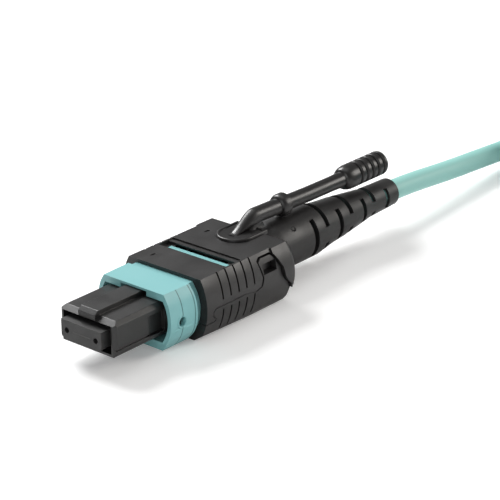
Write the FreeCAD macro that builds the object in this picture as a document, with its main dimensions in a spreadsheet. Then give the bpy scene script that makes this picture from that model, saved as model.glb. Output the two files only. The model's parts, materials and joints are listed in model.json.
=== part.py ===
import FreeCAD, Part
import Sketcher

# A multi-fibre push-on (MPO) patch lead: a female plug with its push-pull tab, one metre of round
# fibre cable, and the same plug again at the far end of the cable.
#
# Frame, in millimetres: the origin is the centre of the ferrule's mating face, between the two guide
# holes. +X runs back along the plug towards the cable, so the plug is pushed home along -X.
# +Z is up, on the side of the key, and +Y is to the left of someone who holds the cable and looks
# at the mating face's back.

import math
import os

# ---------------------------------------------------------------------------------------------
# Driving sizes
# ---------------------------------------------------------------------------------------------

SIZES = {
    # mating standard
    "guide_hole": 0.70,
    "guide_pitch": 4.60,
    "ferrule_wide": 6.40,
    "ferrule_high": 2.50,
    "ferrule_long": 8.00,
    "ferrule_corner": 0.45,
    "flange_wide": 7.20,
    "flange_high": 3.10,
    "flange_long": 1.80,
    # fibres
    "fibre_thick": 0.125,
    "fibre_row": 2.875,
    "fibre_long": 3.00,
    "ribbon_wide": 3.05,
    "ribbon_thick": 0.25,
    "ribbon_flat_rear": 15.00,
    "bundle_front": 18.00,
    "bundle_wide": 1.10,
    "bundle_high": 0.80,
    "glue_gap": 0.02,
    # rubber insert behind the ferrule, and the keeper that the spring pushes on
    "insert_wide": 3.80,
    "insert_high": 1.20,
    "insert_long": 4.00,
    "insert_sunk": 2.80,
    "keeper_long": 2.20,
    "boss_wide": 3.80,
    "boss_high": 1.40,
    "boss_long": 0.80,
    "boss_slot_high": 0.60,
    # springs
    "oval_wire": 0.40,
    "oval_wide": 6.80,
    "oval_high": 2.90,
    "oval_turns": 4,
    "coil_wire": 0.20,
    "coil_wide": 1.00,
    "coil_turns": 5,
    "spring_corners": 10,
    "coil_across": 4.50,
    "coil_height": -0.20,
    "coil_front": 12.35,
    "coil_rear": 16.55,
    # clearances and travels
    "slide_gap": 0.05,
    "seat_gap": 0.02,
    "release_travel": 1.60,
    "float_travel": 0.50,
    # inner housing
    "housing_front": 1.00,
    "housing_rear": 17.00,
    "housing_wide": 8.86,
    "housing_top": 2.34,
    "housing_bottom": 2.00,
    "housing_bevel": 0.48,
    "housing_foot_bevel": 0.35,
    "housing_corner": 0.42,
    "housing_corner_back": 0.35,
    "lip_back": 0.74,
    "lip_down": 0.50,
    "mouth_wide": 7.50,
    "mouth_top": 1.84,
    "mouth_bottom": 1.65,
    "mouth_deep": 5.20,
    "key_wide": 2.70,
    "key_top": 2.95,
    "key_bevel": 0.55,
    "latch_front": 6.60,
    "latch_long": 2.60,
    "latch_deep": 0.42,
    "latch_high": 2.60,
    "rail_height": -0.85,
    "rail_high": 0.36,
    "rail_deep": 0.25,
    # rear body that closes the housing, with its crimp post
    "nose_long": 2.40,
    "barb_long": 1.10,
    "barb_wide": 2.80,
    "barb_high": 0.45,
    "barb_setback": 0.45,
    "collar_long": 1.50,
    "post_radius": 1.90,
    "post_long": 7.30,
    "passage_high": 1.20,
    "fibre_bore": 1.20,
    # crimp
    "yarn_thick": 0.20,
    "yarn_long": 7.50,
    "ring_wall": 0.35,
    "ring_neck_long": 6.00,
    # coupling sleeve
    "sleeve_front": 8.80,
    "sleeve_rear": 20.50,
    "sleeve_top": 3.35,
    "sleeve_bottom": 3.88,
    "sleeve_top_half": 4.70,
    "sleeve_mid_half": 5.65,
    "sleeve_foot_half": 4.40,
    "sleeve_mid_height": -0.30,
    "sleeve_step": 0.15,
    "opening_top": 2.46,
    "opening_bottom": 2.84,
    "opening_top_half": 4.60,
    "opening_mid_half": 5.18,
    "opening_foot_half": 4.40,
    "opening_deep": 3.10,
    "notch_wide": 4.10,
    "notch_top": 3.05,
    "neck_front": 13.10,
    "neck_long": 1.65,
    "neck_deep": 0.25,
    "peep_hole": 1.20,
    "peep_back": 1.98,
    "peep_height": -0.42,
    # push-pull tab
    "tab_front": 14.10,
    "tab_rear": 30.20,
    "tab_top": 3.70,
    "tab_bottom": 4.45,
    "tab_top_half": 5.75,
    "tab_mid_half": 6.80,
    "tab_mid_height": 0.10,
    "tab_waist": 3.45,
    "tab_waist_half": 5.95,
    "tab_foot_half": 4.90,
    "pare_slope": 0.70,
    "pare_front": 7.64,
    "pare_rear": 8.24,
    "tab_end_wall": 1.00,
    "tab_roof_gap": 0.15,
    "tab_collar_gap": 0.25,
    "stop_rib_long": 0.90,
    "stop_rib_high": 0.60,
    "tab_shoulder_half": 6.42,
    "tab_shoulder_height": 2.00,
    "tab_hip_half": 6.53,
    "tab_hip": 2.00,
    "window_front": 19.00,
    "window_long": 1.85,
    "window_half": 5.45,
    "ridge_long": 0.55,
    "ridge_drop": 0.12,
    "line_long": 0.32,
    "line_deep": 0.22,
    "mark_front": 15.84,
    "mark_front_across": 3.73,
    "mark_rear": 25.46,
    "mark_rear_across": 3.61,
    "mark_long": 0.80,
    "mark_wide": 0.40,
    "mark_deep": 0.12,
    "rear_bevel": 0.80,
    "seam_height": -0.20,
    "seam_gap": 0.08,
    "latch_gap": 0.25,
    "hook_down": 1.70,
    "hook_long": 1.70,
    "hook_lip": 0.60,
    "latch_lean": 0.35,
    "latch_step": 0.95,
    "latch_tab_front": 23.90,
    "latch_tab_rear": 27.70,
    "latch_tab_top": 3.30,
    "snap_front": 24.50,
    "snap_long": 2.40,
    "snap_high": 1.30,
    "snap_height": 1.05,
    "snap_arm_in": 3.90,
    "snap_arm_out": 4.65,
    "snap_tip": 5.75,
    "lobe_front": 26.60,
    "lobe_out": 0.45,
    "rib_front": 16.85,
    "rib_pitch": 1.43,
    "rib_count": 5,
    "rib_cut": 0.24,
    "rib_deep": 0.22,
    "rib_foot": 0.50,
    "low_rib_front": 16.90,
    "low_rib_top": -0.70,
    # pull rod
    "tongue_front": 24.70,
    "tongue_half": 2.45,
    "tongue_thick": 0.50,
    "tongue_sunk": 0.15,
    "rod_radius": 1.03,
    "rod_height": 5.32,
    "rod_front": 29.60,
    "root_long": 2.20,
    "stop_front": 34.90,
    "stop_long": 1.45,
    "stop_radius": 1.45,
    "bend_rear": 40.80,
    "handle_height": 4.73,
    "knob_front": 47.60,
    "knob_rear": 56.60,
    "knob_radius": 1.68,
    "knob_dome": 2.60,
    "ring_pitch": 1.10,
    "ring_count": 5,
    "ring_cut": 0.50,
    "ring_deep": 0.34,
    # strain-relief boot
    "boot_rear": 58.75,
    "boot_radius": 3.20,
    "boot_end_radius": 1.88,
    "boot_bore_gap": 0.15,
    "boot_mid_share": 0.66,
    "boot_rear_share": 0.13,
    "boot_taper_front": 40.50,
    "boot_taper_rear": 52.80,
    "side_slot_front": 38.55,
    "top_slot_front": 41.05,
    "slot_pitch": 5.72,
    "slot_long": 0.84,
    "side_slot_turn": 98,
    "top_slot_turn": 142,
    "side_slot_count": 4,
    "top_slot_count": 3,
    # cable
    "cable_wide": 2.80,
    "cable_gap": 0.05,
    "jacket_front": 30.00,
    # hank that the spare cable is put away in
    "hank_x": 113.45,
    "hank_y": -6.15,
    "hank_straight": 23.10,
    "hank_inner": 7.80,
    "hank_outer": 13.40,
    "hank_layers": 4,
    # far plug: the first plug's pieces moved along X and Y
    "far_x": 58.50,
    "far_y": -23.30,
}

doc = FreeCAD.newDocument("mpo_lead")
sheet = doc.addObject("Spreadsheet::Sheet", "dims")
for row, (alias, value) in enumerate(SIZES.items(), start=1):
    sheet.set(f"A{row}", alias)
    sheet.set(f"B{row}", str(value))
    sheet.setAlias(f"B{row}", alias)
doc.recompute()


class Size:
    """A length in mm that also carries the sheet expression that gives it."""

    def __init__(self, text, value):
        self.text = text
        self.value = value

    def joined(self, sign, other, value):
        other_text = other.text if isinstance(other, Size) else str(other)
        return Size(f"({self.text} {sign} {other_text})", value)

    def __add__(self, other):
        return self.joined("+", other, self.value + plain(other))

    def __sub__(self, other):
        return self.joined("-", other, self.value - plain(other))

    def __mul__(self, times):
        return self.joined("*", times, self.value * plain(times))

    def __truediv__(self, parts):
        return self.joined("/", parts, self.value / plain(parts))

    def __neg__(self):
        return Size(f"(0 - {self.text})", -self.value)


def plain(length):
    """The bare number in mm."""
    return length.value if isinstance(length, Size) else float(length)


def further(one, other):
    """The larger of two places, worked out in the sheet as well."""
    return Size(f"max({one.text}; {other.text})", max(one.value, other.value))


class Dims:
    """Reads a size from the sheet by its alias: dims.ferrule_wide."""

    def __getattr__(self, alias):
        return Size(f"dims.{alias}", float(sheet.get(alias)))


dims = Dims()
NIL = Size("0", 0.0)
YZ, XZ, XY = "YZ_Plane", "XZ_Plane", "XY_Plane"
pieces = {}


# ---------------------------------------------------------------------------------------------
# Ways of making a piece
# ---------------------------------------------------------------------------------------------

def new_body(label):
    """An empty body, kept under the piece's own name."""
    body = doc.addObject("PartDesign::Body", label)
    body.Label = label
    pieces[label] = body
    return body


def bind(feature, name, length):
    """Ties a property to the sheet, or sets it when it is a plain number."""
    if isinstance(length, Size):
        feature.setExpression(name, length.text)
    else:
        setattr(feature, name, length)


def new_sketch(body, plane, lift=NIL):
    """A sketch on one of the body's origin planes, lifted along that plane's normal."""
    support = next(f for f in body.Origin.OriginFeatures if f.Role == plane)
    sketch = body.newObject("Sketcher::SketchObject", "outline")
    sketch.AttachmentSupport = [(support, "")]
    sketch.MapMode = "FlatFace"
    sketch.setExpression("AttachmentOffset.Base.z", lift.text)
    sketch.Visibility = False
    return sketch


def pin_point(sketch, item, end, across, up):
    """Holds one end of an item at two bound distances from the sketch's origin."""
    for kind, length in (("DistanceX", across), ("DistanceY", up)):
        length = length if isinstance(length, Size) else Size(str(length), float(length))
        row = sketch.addConstraint(Sketcher.Constraint(kind, -1, 1, item, end, length.value))
        sketch.setExpression(f"Constraints[{row}]", length.text)


def draw_outline(sketch, corners):
    """A closed outline. A corner is (across, up), or (across, up, via_across, via_up) when the edge to
    the next corner is an arc through the second point."""
    first = sketch.GeometryCount
    spots = [FreeCAD.Vector(plain(c[0]), plain(c[1]), 0) for c in corners]
    ends = {}
    item = first
    vias = []
    for n, corner in enumerate(corners):
        start, stop = spots[n], spots[(n + 1) % len(spots)]
        if len(corner) == 2:
            sketch.addGeometry(Part.LineSegment(start, stop))
            ends[n] = (item, 1, 2)
        else:
            via = FreeCAD.Vector(plain(corner[2]), plain(corner[3]), 0)
            clockwise = (via - start).cross(stop - start).z < 0
            low, high = (stop, start) if clockwise else (start, stop)
            centre = Part.Arc(start, via, stop).toShape().Curve.Center
            circle = Part.Circle(centre, FreeCAD.Vector(0, 0, 1), start.distanceToPoint(centre))
            angles = [math.atan2(spot.y - centre.y, spot.x - centre.x) for spot in (low, high)]
            sketch.addGeometry(Part.ArcOfCircle(circle, *angles))
            ends[n] = (item, 2, 1) if clockwise else (item, 1, 2)
            vias.append((item, corner[2], corner[3], via))
        item += 1
    count = len(corners)
    for n in range(count):
        here, there = ends[n], ends[(n + 1) % count]
        sketch.addConstraint(Sketcher.Constraint("Coincident", here[0], here[2], there[0], there[1]))
    for n, corner in enumerate(corners):
        pin_point(sketch, ends[n][0], ends[n][1], corner[0], corner[1])
    for arc_item, across, up, via in vias:
        mark = sketch.addGeometry(Part.Point(via), True)
        pin_point(sketch, mark, 1, across, up)
        sketch.addConstraint(Sketcher.Constraint("PointOnObject", mark, 1, arc_item))


def draw_circle(sketch, across, up, radius):
    """A full circle, placed and sized by the sheet."""
    centre = FreeCAD.Vector(plain(across), plain(up), 0)
    item = sketch.addGeometry(Part.Circle(centre, FreeCAD.Vector(0, 0, 1), plain(radius)))
    pin_point(sketch, item, 3, across, up)
    row = sketch.addConstraint(Sketcher.Constraint("Radius", item, plain(radius)))
    sketch.setExpression(f"Constraints[{row}]", radius.text)


def draw(sketch, outlines):
    """Draws each outline: a list of corners, or a (across, up, radius) circle."""
    for outline in outlines:
        if isinstance(outline, tuple):
            draw_circle(sketch, *outline)
        else:
            draw_outline(sketch, outline)


def volume_of(body):
    doc.recompute()
    return body.Shape.Volume if not body.Shape.isNull() else 0.0


def checked(body, feature, before, grows):
    """Stops the build if a feature added or removed nothing."""
    after = volume_of(body)
    if (after <= before + 1e-6) if grows else (after >= before - 1e-6):
        raise RuntimeError(f"{body.Label}: {feature.Name} changed nothing ({before:.4f} to {after:.4f})")
    return feature


def prism(body, kind, at, length, *outlines):
    """A section across the plug, from X = at rearwards: kind is Pad or Pocket."""
    before = volume_of(body)
    sketch = new_sketch(body, YZ, at)
    draw(sketch, outlines)
    feature = body.newObject(f"PartDesign::{kind}", kind.lower())
    feature.Profile = sketch
    bind(feature, "Length", length)
    feature.Reversed = kind == "Pocket"
    return checked(body, feature, before, kind == "Pad")


def side_cut(body, kind, plane, width, *outlines, lift=NIL):
    """A profile seen from the side (XZ) or from above (XY), carried evenly both ways."""
    before = volume_of(body)
    sketch = new_sketch(body, plane, lift)
    draw(sketch, outlines)
    feature = body.newObject(f"PartDesign::{kind}", kind.lower())
    feature.Profile = sketch
    bind(feature, "Length", width)
    feature.SideType = "Symmetric"
    return checked(body, feature, before, kind == "Pad")


def turned(body, kind, plane, angle, *outlines):
    """A profile turned about the X axis: kind is Revolution or Groove."""
    before = volume_of(body)
    sketch = new_sketch(body, plane)
    draw(sketch, outlines)
    feature = body.newObject(f"PartDesign::{kind}", kind.lower())
    feature.Profile = sketch
    feature.ReferenceAxis = (sketch, ["H_Axis"])
    bind(feature, "Angle", angle)
    feature.Midplane = True
    return checked(body, feature, before, kind == "Revolution")


def row_of(body, feature, step, count):
    """Repeats a feature along X."""
    before = volume_of(body)
    axis = next(f for f in body.Origin.OriginFeatures if f.Role == "X_Axis")
    pattern = body.newObject("PartDesign::LinearPattern", "row")
    pattern.Originals = [feature]
    pattern.Direction = (axis, [""])
    pattern.setExpression("Length", (step * (count - 1)).text)
    pattern.setExpression("Occurrences", count.text)
    body.Tip = pattern
    return checked(body, pattern, before, False)


def mirrored(body, feature, grows=False):
    """Repeats a feature on the other side of the plug's middle plane."""
    before = volume_of(body)
    plane = next(f for f in body.Origin.OriginFeatures if f.Role == XZ)
    mirror = body.newObject("PartDesign::Mirrored", "mirror")
    mirror.Originals = [feature]
    mirror.MirrorPlane = (plane, [""])
    body.Tip = mirror
    return checked(body, mirror, before, grows)


def oblong(half, low, high):
    """A rectangle about the middle plane, from low to high."""
    return [(-half, low), (half, low), (half, high), (-half, high)]


def tub(top_half, top, mid_half, mid, foot_half, foot):
    """A flat-topped section with bowed sides: the shape that runs through sleeve and tab."""
    return [
        (-top_half, top),
        (top_half, top, mid_half, mid),
        (foot_half, foot),
        (-foot_half, foot, -mid_half, mid),
    ]


# ---------------------------------------------------------------------------------------------
# Sections and stations that more than one piece uses
# ---------------------------------------------------------------------------------------------

def housing_section(gap):
    """The inner housing's outline, grown by a clearance."""
    half = dims.housing_wide / 2 + gap
    top = dims.housing_top + gap
    foot = -dims.housing_bottom - gap
    bevel = dims.housing_bevel
    foot_bevel = dims.housing_foot_bevel
    return [
        (-half, foot + foot_bevel),
        (-half + foot_bevel, foot),
        (half - foot_bevel, foot),
        (half, foot + foot_bevel),
        (half, top - bevel),
        (half - bevel, top),
        (-half + bevel, top),
        (-half, top - bevel),
    ]


def sleeve_section(gap, top_drop):
    """The coupling sleeve's outline, grown by a clearance, with its top lowered by top_drop."""
    return tub(
        dims.sleeve_top_half + gap, dims.sleeve_top - top_drop + gap,
        dims.sleeve_mid_half + gap, dims.sleeve_mid_height,
        dims.sleeve_foot_half + gap, -dims.sleeve_bottom - gap,
    )


def tab_section(inset):
    """The push-pull tab's outline: flat roof, bowed sides and a rounder corner down to the foot."""
    top_half, waist_half = dims.tab_top_half - inset, dims.tab_waist_half - inset
    foot_half = dims.tab_foot_half - inset
    mid_half = dims.tab_mid_half - inset
    top = dims.tab_top - inset
    waist = -dims.tab_waist
    foot = inset - dims.tab_bottom
    corner_across = waist_half * 0.66 + foot_half * 0.34
    corner_up = waist * 0.40 + foot * 0.60
    return [
        (-top_half, top),
        (top_half, top, mid_half, dims.tab_mid_height),
        (waist_half, waist, corner_across, corner_up),
        (foot_half, foot),
        (-foot_half, foot, -corner_across, corner_up),
        (-waist_half, waist, -mid_half, dims.tab_mid_height),
    ]


def lobe_section(inset, side):
    """The rear lobe that stands proud of the tab's side, from its roof to below the seam."""
    out = dims.lobe_out
    root = dims.tab_top_half - 1
    top = dims.tab_top - inset
    foot = dims.seam_height - 2.0
    return [
        (root * side, top),
        ((dims.tab_top_half + out * 0.6 - inset) * side, top),
        ((dims.tab_top_half + out - inset) * side, top - out * 0.7,
         (dims.tab_mid_half + out - inset) * side, dims.tab_mid_height + 0.3),
        ((dims.tab_mid_half + out * 0.2 - inset) * side, foot),
        (root * side, foot),
    ]


def corner_wedge(reach, side):
    """What is pared off a lower corner: beyond the line slope * across + down = reach."""
    out = dims.tab_mid_half + 0.2
    low = dims.tab_bottom + 0.5
    return [
        (out * side, dims.pare_slope * out - reach),
        (out * side, -low),
        ((reach - low) / dims.pare_slope * side, -low),
    ]


keeper_front = dims.ferrule_long + dims.seat_gap
keeper_rear = keeper_front + dims.keeper_long
nose_front = dims.housing_rear - dims.nose_long
collar_rear = dims.housing_rear + dims.seat_gap + dims.collar_long
ring_front = collar_rear + dims.seat_gap
yarn_rear = ring_front + dims.yarn_long
post_rear = collar_rear + dims.post_long
# the ring narrows behind the yarn and the post, whichever reaches further back
ring_rear = further(yarn_rear, post_rear + dims.seat_gap)
yarn_radius = dims.post_radius + dims.yarn_thick
ring_radius = yarn_radius + dims.ring_wall
cable_radius = dims.cable_wide / 2
grip_front = dims.neck_front + dims.neck_long
cavity_front = dims.sleeve_rear + dims.seat_gap
end_wall_front = dims.tab_rear - dims.tab_end_wall
opening_rear = dims.sleeve_front + dims.opening_deep
key_rear = opening_rear - dims.seat_gap
ribbon_rear = dims.jacket_front - dims.float_travel - dims.slide_gap * 2
boot_front = dims.sleeve_rear + dims.release_travel + dims.slide_gap * 2
stop_rib_rear = cavity_front + dims.stop_rib_long
ring_shoulder = ring_rear + dims.ring_wall
ring_neck_rear = ring_shoulder + dims.ring_neck_long
jacket_bore = cable_radius + dims.seat_gap
ring_neck_radius = jacket_bore + dims.ring_wall


# ---------------------------------------------------------------------------------------------
# Ferrule, its rubber insert, keeper, spring and fibres
# ---------------------------------------------------------------------------------------------

def make_ferrule():
    body = new_body("mt_ferrule")
    half = dims.ferrule_wide / 2
    high = dims.ferrule_high / 2
    corner = dims.ferrule_corner
    flange_front = dims.ferrule_long - dims.flange_long
    front = [
        (-half, -high + corner),
        (-half + corner, -high),
        (half - corner, -high),
        (half, -high + corner),
        (half, high),
        (-half, high),
    ]
    prism(body, "Pad", NIL, flange_front, front)
    flange = oblong(dims.flange_wide / 2, -dims.flange_high / 2, dims.flange_high / 2)
    prism(body, "Pad", flange_front, dims.flange_long, flange)
    sunk = oblong(dims.insert_wide / 2 + dims.glue_gap,
                  -dims.insert_high / 2 - dims.glue_gap, dims.insert_high / 2 + dims.glue_gap)
    prism(body, "Pocket", dims.ferrule_long - dims.insert_sunk, dims.insert_sunk, sunk)
    row = oblong(dims.fibre_row / 2 + dims.glue_gap,
                 -dims.fibre_thick / 2 - dims.glue_gap, dims.fibre_thick / 2 + dims.glue_gap)
    prism(body, "Pocket", NIL, dims.fibre_long, row)
    slit = oblong(dims.ribbon_wide / 2 + dims.glue_gap,
                  -dims.ribbon_thick / 2 - dims.glue_gap, dims.ribbon_thick / 2 + dims.glue_gap)
    prism(body, "Pocket", dims.fibre_long, dims.ferrule_long - dims.insert_sunk - dims.fibre_long, slit)
    hole = dims.guide_hole / 2
    side = dims.guide_pitch / 2
    prism(body, "Pocket", NIL, dims.ferrule_long, (side, NIL, hole), (-side, NIL, hole))
    return body


def make_insert():
    body = new_body("ferrule_insert")
    front = dims.ferrule_long - dims.insert_sunk + dims.seat_gap
    prism(body, "Pad", front, dims.insert_long,
          oblong(dims.insert_wide / 2, -dims.insert_high / 2, dims.insert_high / 2),
          oblong(dims.ribbon_wide / 2 + dims.glue_gap,
                 -dims.ribbon_thick / 2 - dims.glue_gap, dims.ribbon_thick / 2 + dims.glue_gap))
    return body


def make_keeper():
    body = new_body("pin_keeper")
    slot = oblong(dims.insert_wide / 2 + dims.slide_gap,
                  -dims.insert_high / 2 - dims.slide_gap, dims.insert_high / 2 + dims.slide_gap)
    boss_slot = oblong(dims.ribbon_wide / 2 + dims.slide_gap * 2,
                       -dims.boss_slot_high / 2, dims.boss_slot_high / 2)
    block = oblong(dims.flange_wide / 2, -dims.flange_high / 2, dims.flange_high / 2)
    boss = oblong(dims.boss_wide / 2, -dims.boss_high / 2, dims.boss_high / 2)
    prism(body, "Pad", keeper_front, dims.keeper_long, block)
    prism(body, "Pad", keeper_rear, dims.boss_long, boss)
    prism(body, "Pocket", keeper_front, dims.keeper_long, slot)
    prism(body, "Pocket", keeper_rear, dims.boss_long, boss_slot)
    return body


def make_ribbon():
    """Twelve fibres: a bare row in the ferrule, then a coated ribbon that gathers into a bundle."""
    body = new_body("fibre_ribbon")
    bare = oblong(dims.fibre_row / 2, -dims.fibre_thick / 2, dims.fibre_thick / 2)
    coat_front = dims.fibre_long + dims.seat_gap
    prism(body, "Pad", NIL, coat_front, bare)
    flat = oblong(dims.ribbon_wide / 2, -dims.ribbon_thick / 2, dims.ribbon_thick / 2)
    prism(body, "Pad", coat_front, dims.ribbon_flat_rear - coat_front, flat)
    before = volume_of(body)
    start = new_sketch(body, YZ, dims.ribbon_flat_rear)
    draw(start, [flat])
    bundle = oblong(dims.bundle_wide / 2, -dims.bundle_high / 2, dims.bundle_high / 2)
    stop = new_sketch(body, YZ, dims.bundle_front)
    draw(stop, [bundle])
    loft = body.newObject("PartDesign::AdditiveLoft", "gathering")
    loft.Profile = start
    loft.Sections = [stop]
    loft.Ruled = True
    checked(body, loft, before, True)
    prism(body, "Pad", dims.bundle_front, ribbon_rear - dims.bundle_front, bundle)
    return body


def wound(label, front, rear, across, up, wire, turns, place):
    """A compression spring of square wire. A corner of its centre line, turned by t, is
    (front + rise * t, across * cos t, up * sin t), and straight lengths join the corners."""
    corners = int(dims.spring_corners.value)
    steps = int(turns.value) * corners
    first = front.value + wire.value / 2
    rise = (rear.value - front.value - wire.value) / steps
    reach = across.value - wire.value / 2
    lift = up.value - wire.value / 2
    points = []
    for step in range(steps + 1):
        angle = 2 * math.pi * step / corners
        points.append(FreeCAD.Vector(first + rise * step, reach * math.cos(angle), lift * math.sin(angle)))
    path = Part.makePolygon(points)
    half = wire.value / 2
    section = Part.makePolygon([points[0] + FreeCAD.Vector(x * half, y * half, 0)
                                for x, y in ((-1, -1), (1, -1), (1, 1), (-1, 1), (-1, -1))])
    spring = doc.addObject("Part::Feature", label)
    spring.Shape = Part.Wire(path.Edges).makePipeShell([section], True, False, 1)
    spring.Placement = place
    pieces[label] = spring
    return spring


def make_oval_spring():
    return wound("ferrule_spring", keeper_rear + dims.seat_gap, nose_front - dims.seat_gap,
                 dims.oval_wide / 2, dims.oval_high / 2, dims.oval_wire, dims.oval_turns,
                 FreeCAD.Placement())


def make_coil_spring(label, side):
    """A small coupling spring, half in the housing's channel and half in the sleeve's."""
    place = FreeCAD.Placement(
        FreeCAD.Vector(0, dims.coil_across.value * side, dims.coil_height.value), FreeCAD.Rotation())
    return wound(label, dims.coil_front, dims.coil_rear,
                 dims.coil_wide / 2, dims.coil_wide / 2, dims.coil_wire, dims.coil_turns, place)


# ---------------------------------------------------------------------------------------------
# Inner housing and the rear body that closes it
# ---------------------------------------------------------------------------------------------

def make_housing():
    body = new_body("inner_housing")
    front, rear = dims.housing_front, dims.housing_rear
    prism(body, "Pad", front, rear - front, housing_section(NIL))
    prism(body, "Pad", front, key_rear - front,
          oblong(dims.key_wide / 2, dims.mouth_top, dims.key_top))
    # bevelled top lip: the key keeps a short upright face below its own bevel
    lip = [
        (front, dims.housing_top - dims.lip_down),
        (front, dims.housing_top + dims.key_top),
        (front + dims.lip_back, dims.housing_top + dims.key_top),
        (front + dims.lip_back, dims.housing_top),
    ]
    for side in (1, -1):
        half = dims.housing_wide / 2 - dims.key_wide / 2
        before = volume_of(body)
        sketch = new_sketch(body, XZ, (dims.key_wide / 2) * side)
        draw(sketch, [lip])
        cut = body.newObject("PartDesign::Pocket", "lip_bevel")
        cut.Profile = sketch
        bind(cut, "Length", half)
        cut.Reversed = side > 0
        checked(body, cut, before, False)
    key_bevel = [
        (front, dims.key_top - dims.key_bevel * 0.8),
        (front, dims.key_top + dims.key_bevel),
        (front + dims.key_bevel, dims.key_top + dims.key_bevel),
        (front + dims.key_bevel, dims.key_top),
    ]
    side_cut(body, "Pocket", XZ, dims.key_wide, key_bevel)
    # bevelled upright corners of the front
    outside = dims.housing_wide / 2
    corner_rear = front + dims.housing_corner_back
    corners = [
        [
            (front, (outside - dims.housing_corner) * side),
            (corner_rear, outside * side),
            (corner_rear, (outside + 1) * side),
            (front, (outside + 1) * side),
        ]
        for side in (1, -1)
    ]
    side_cut(body, "Pocket", XY, dims.key_top * 4, *corners)
    # mouth, neck that guides the ferrule, and the chamber for flange, keeper and spring
    mouth = oblong(dims.mouth_wide / 2, -dims.mouth_bottom, dims.mouth_top)
    prism(body, "Pocket", front, dims.mouth_deep - front, mouth)
    neck = oblong(dims.ferrule_wide / 2 + dims.slide_gap,
                  -dims.ferrule_high / 2 - dims.slide_gap, dims.ferrule_high / 2 + dims.slide_gap)
    shoulder = dims.ferrule_long - dims.flange_long - dims.seat_gap
    prism(body, "Pocket", dims.mouth_deep, shoulder - dims.mouth_deep, neck)
    chamber = oblong(dims.flange_wide / 2 + dims.slide_gap,
                     -dims.flange_high / 2 - dims.slide_gap, dims.flange_high / 2 + dims.slide_gap)
    prism(body, "Pocket", shoulder, rear - shoulder, chamber)
    # recesses in both sides for the adapter's latches, and a rail cut along the foot of each side
    latch_floor = outside - dims.latch_deep
    latch_rear = dims.latch_front + dims.latch_long
    latches = [
        [
            (dims.latch_front, outside * side),
            (dims.latch_front + dims.latch_deep, latch_floor * side),
            (latch_rear, latch_floor * side),
            (latch_rear, (outside + 1) * side),
            (dims.latch_front, (outside + 1) * side),
        ]
        for side in (1, -1)
    ]
    side_cut(body, "Pocket", XY, dims.latch_high, *latches)
    rail = [
        (outside - dims.rail_deep, dims.rail_height - dims.rail_high),
        (outside + 1, dims.rail_height - dims.rail_high),
        (outside + 1, dims.rail_height),
        (outside - dims.rail_deep, dims.rail_height - dims.rail_high / 3),
    ]
    mirrored(body, prism(body, "Pocket", front, dims.latch_front - front, rail))
    # half-round channels for the two coupling springs, open to the front
    channel = (dims.coil_across, dims.coil_height, dims.coil_wide / 2 + dims.slide_gap)
    channel_front = dims.coil_front - dims.slide_gap * 2
    channel_rear = dims.coil_rear + dims.seat_gap
    mirrored(body, prism(body, "Pocket", channel_front, channel_rear - channel_front, channel))
    # windows in roof and floor that the rear body's barbs snap into
    barb_front = dims.housing_rear - dims.barb_setback - dims.barb_long
    window = [
        (barb_front - dims.slide_gap, -dims.housing_bottom - 1),
        (barb_front + dims.barb_long + dims.slide_gap, -dims.housing_bottom - 1),
        (barb_front + dims.barb_long + dims.slide_gap, dims.key_top + 1),
        (barb_front - dims.slide_gap, dims.key_top + 1),
    ]
    side_cut(body, "Pocket", XZ, dims.barb_wide + dims.slide_gap * 2, window)
    return body


def make_rear_body():
    body = new_body("rear_body")
    fit = dims.slide_gap / 2
    nose = oblong(dims.flange_wide / 2 + fit, -dims.flange_high / 2 - fit, dims.flange_high / 2 + fit)
    seat = dims.housing_rear + dims.seat_gap
    prism(body, "Pad", nose_front, seat - nose_front, nose)
    barb_front = dims.housing_rear - dims.barb_setback - dims.barb_long
    barb_root = dims.flange_high / 2
    for side in (1, -1):
        barb = [
            (barb_front, barb_root * side),
            (barb_front + dims.barb_long, barb_root * side),
            (barb_front + dims.barb_long, (barb_root + dims.barb_high) * side),
            (barb_front + dims.barb_long * 0.6, (barb_root + dims.barb_high) * side),
        ]
        side_cut(body, "Pad", XZ, dims.barb_wide, barb)
    prism(body, "Pad", seat, dims.collar_long, housing_section(NIL))
    prism(body, "Pad", collar_rear, dims.post_long, (NIL, NIL, dims.post_radius))
    # a flat passage for the ribbon that opens into a round one down the post
    passage = oblong(dims.ribbon_wide / 2 + dims.slide_gap * 2,
                     -dims.passage_high / 2, dims.passage_high / 2)
    prism(body, "Pocket", nose_front, collar_rear - nose_front, passage)
    prism(body, "Pocket", collar_rear, dims.post_long, (NIL, NIL, dims.fibre_bore))
    return body


def make_yarn():
    body = new_body("aramid_yarn")
    turned(body, "Revolution", XZ, 360, [
        (ring_front, dims.post_radius),
        (yarn_rear, dims.post_radius),
        (yarn_rear, yarn_radius),
        (ring_front, yarn_radius),
    ])
    return body


def make_crimp_ring():
    body = new_body("crimp_ring")
    turned(body, "Revolution", XZ, 360, [
        (ring_front, yarn_radius),
        (ring_rear, yarn_radius),
        (ring_rear, jacket_bore),
        (ring_neck_rear, jacket_bore),
        (ring_neck_rear, ring_neck_radius),
        (ring_shoulder, ring_neck_radius),
        (ring_shoulder, ring_radius),
        (ring_front, ring_radius),
    ])
    return body


# ---------------------------------------------------------------------------------------------
# Coupling sleeve and its two springs
# ---------------------------------------------------------------------------------------------

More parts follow.
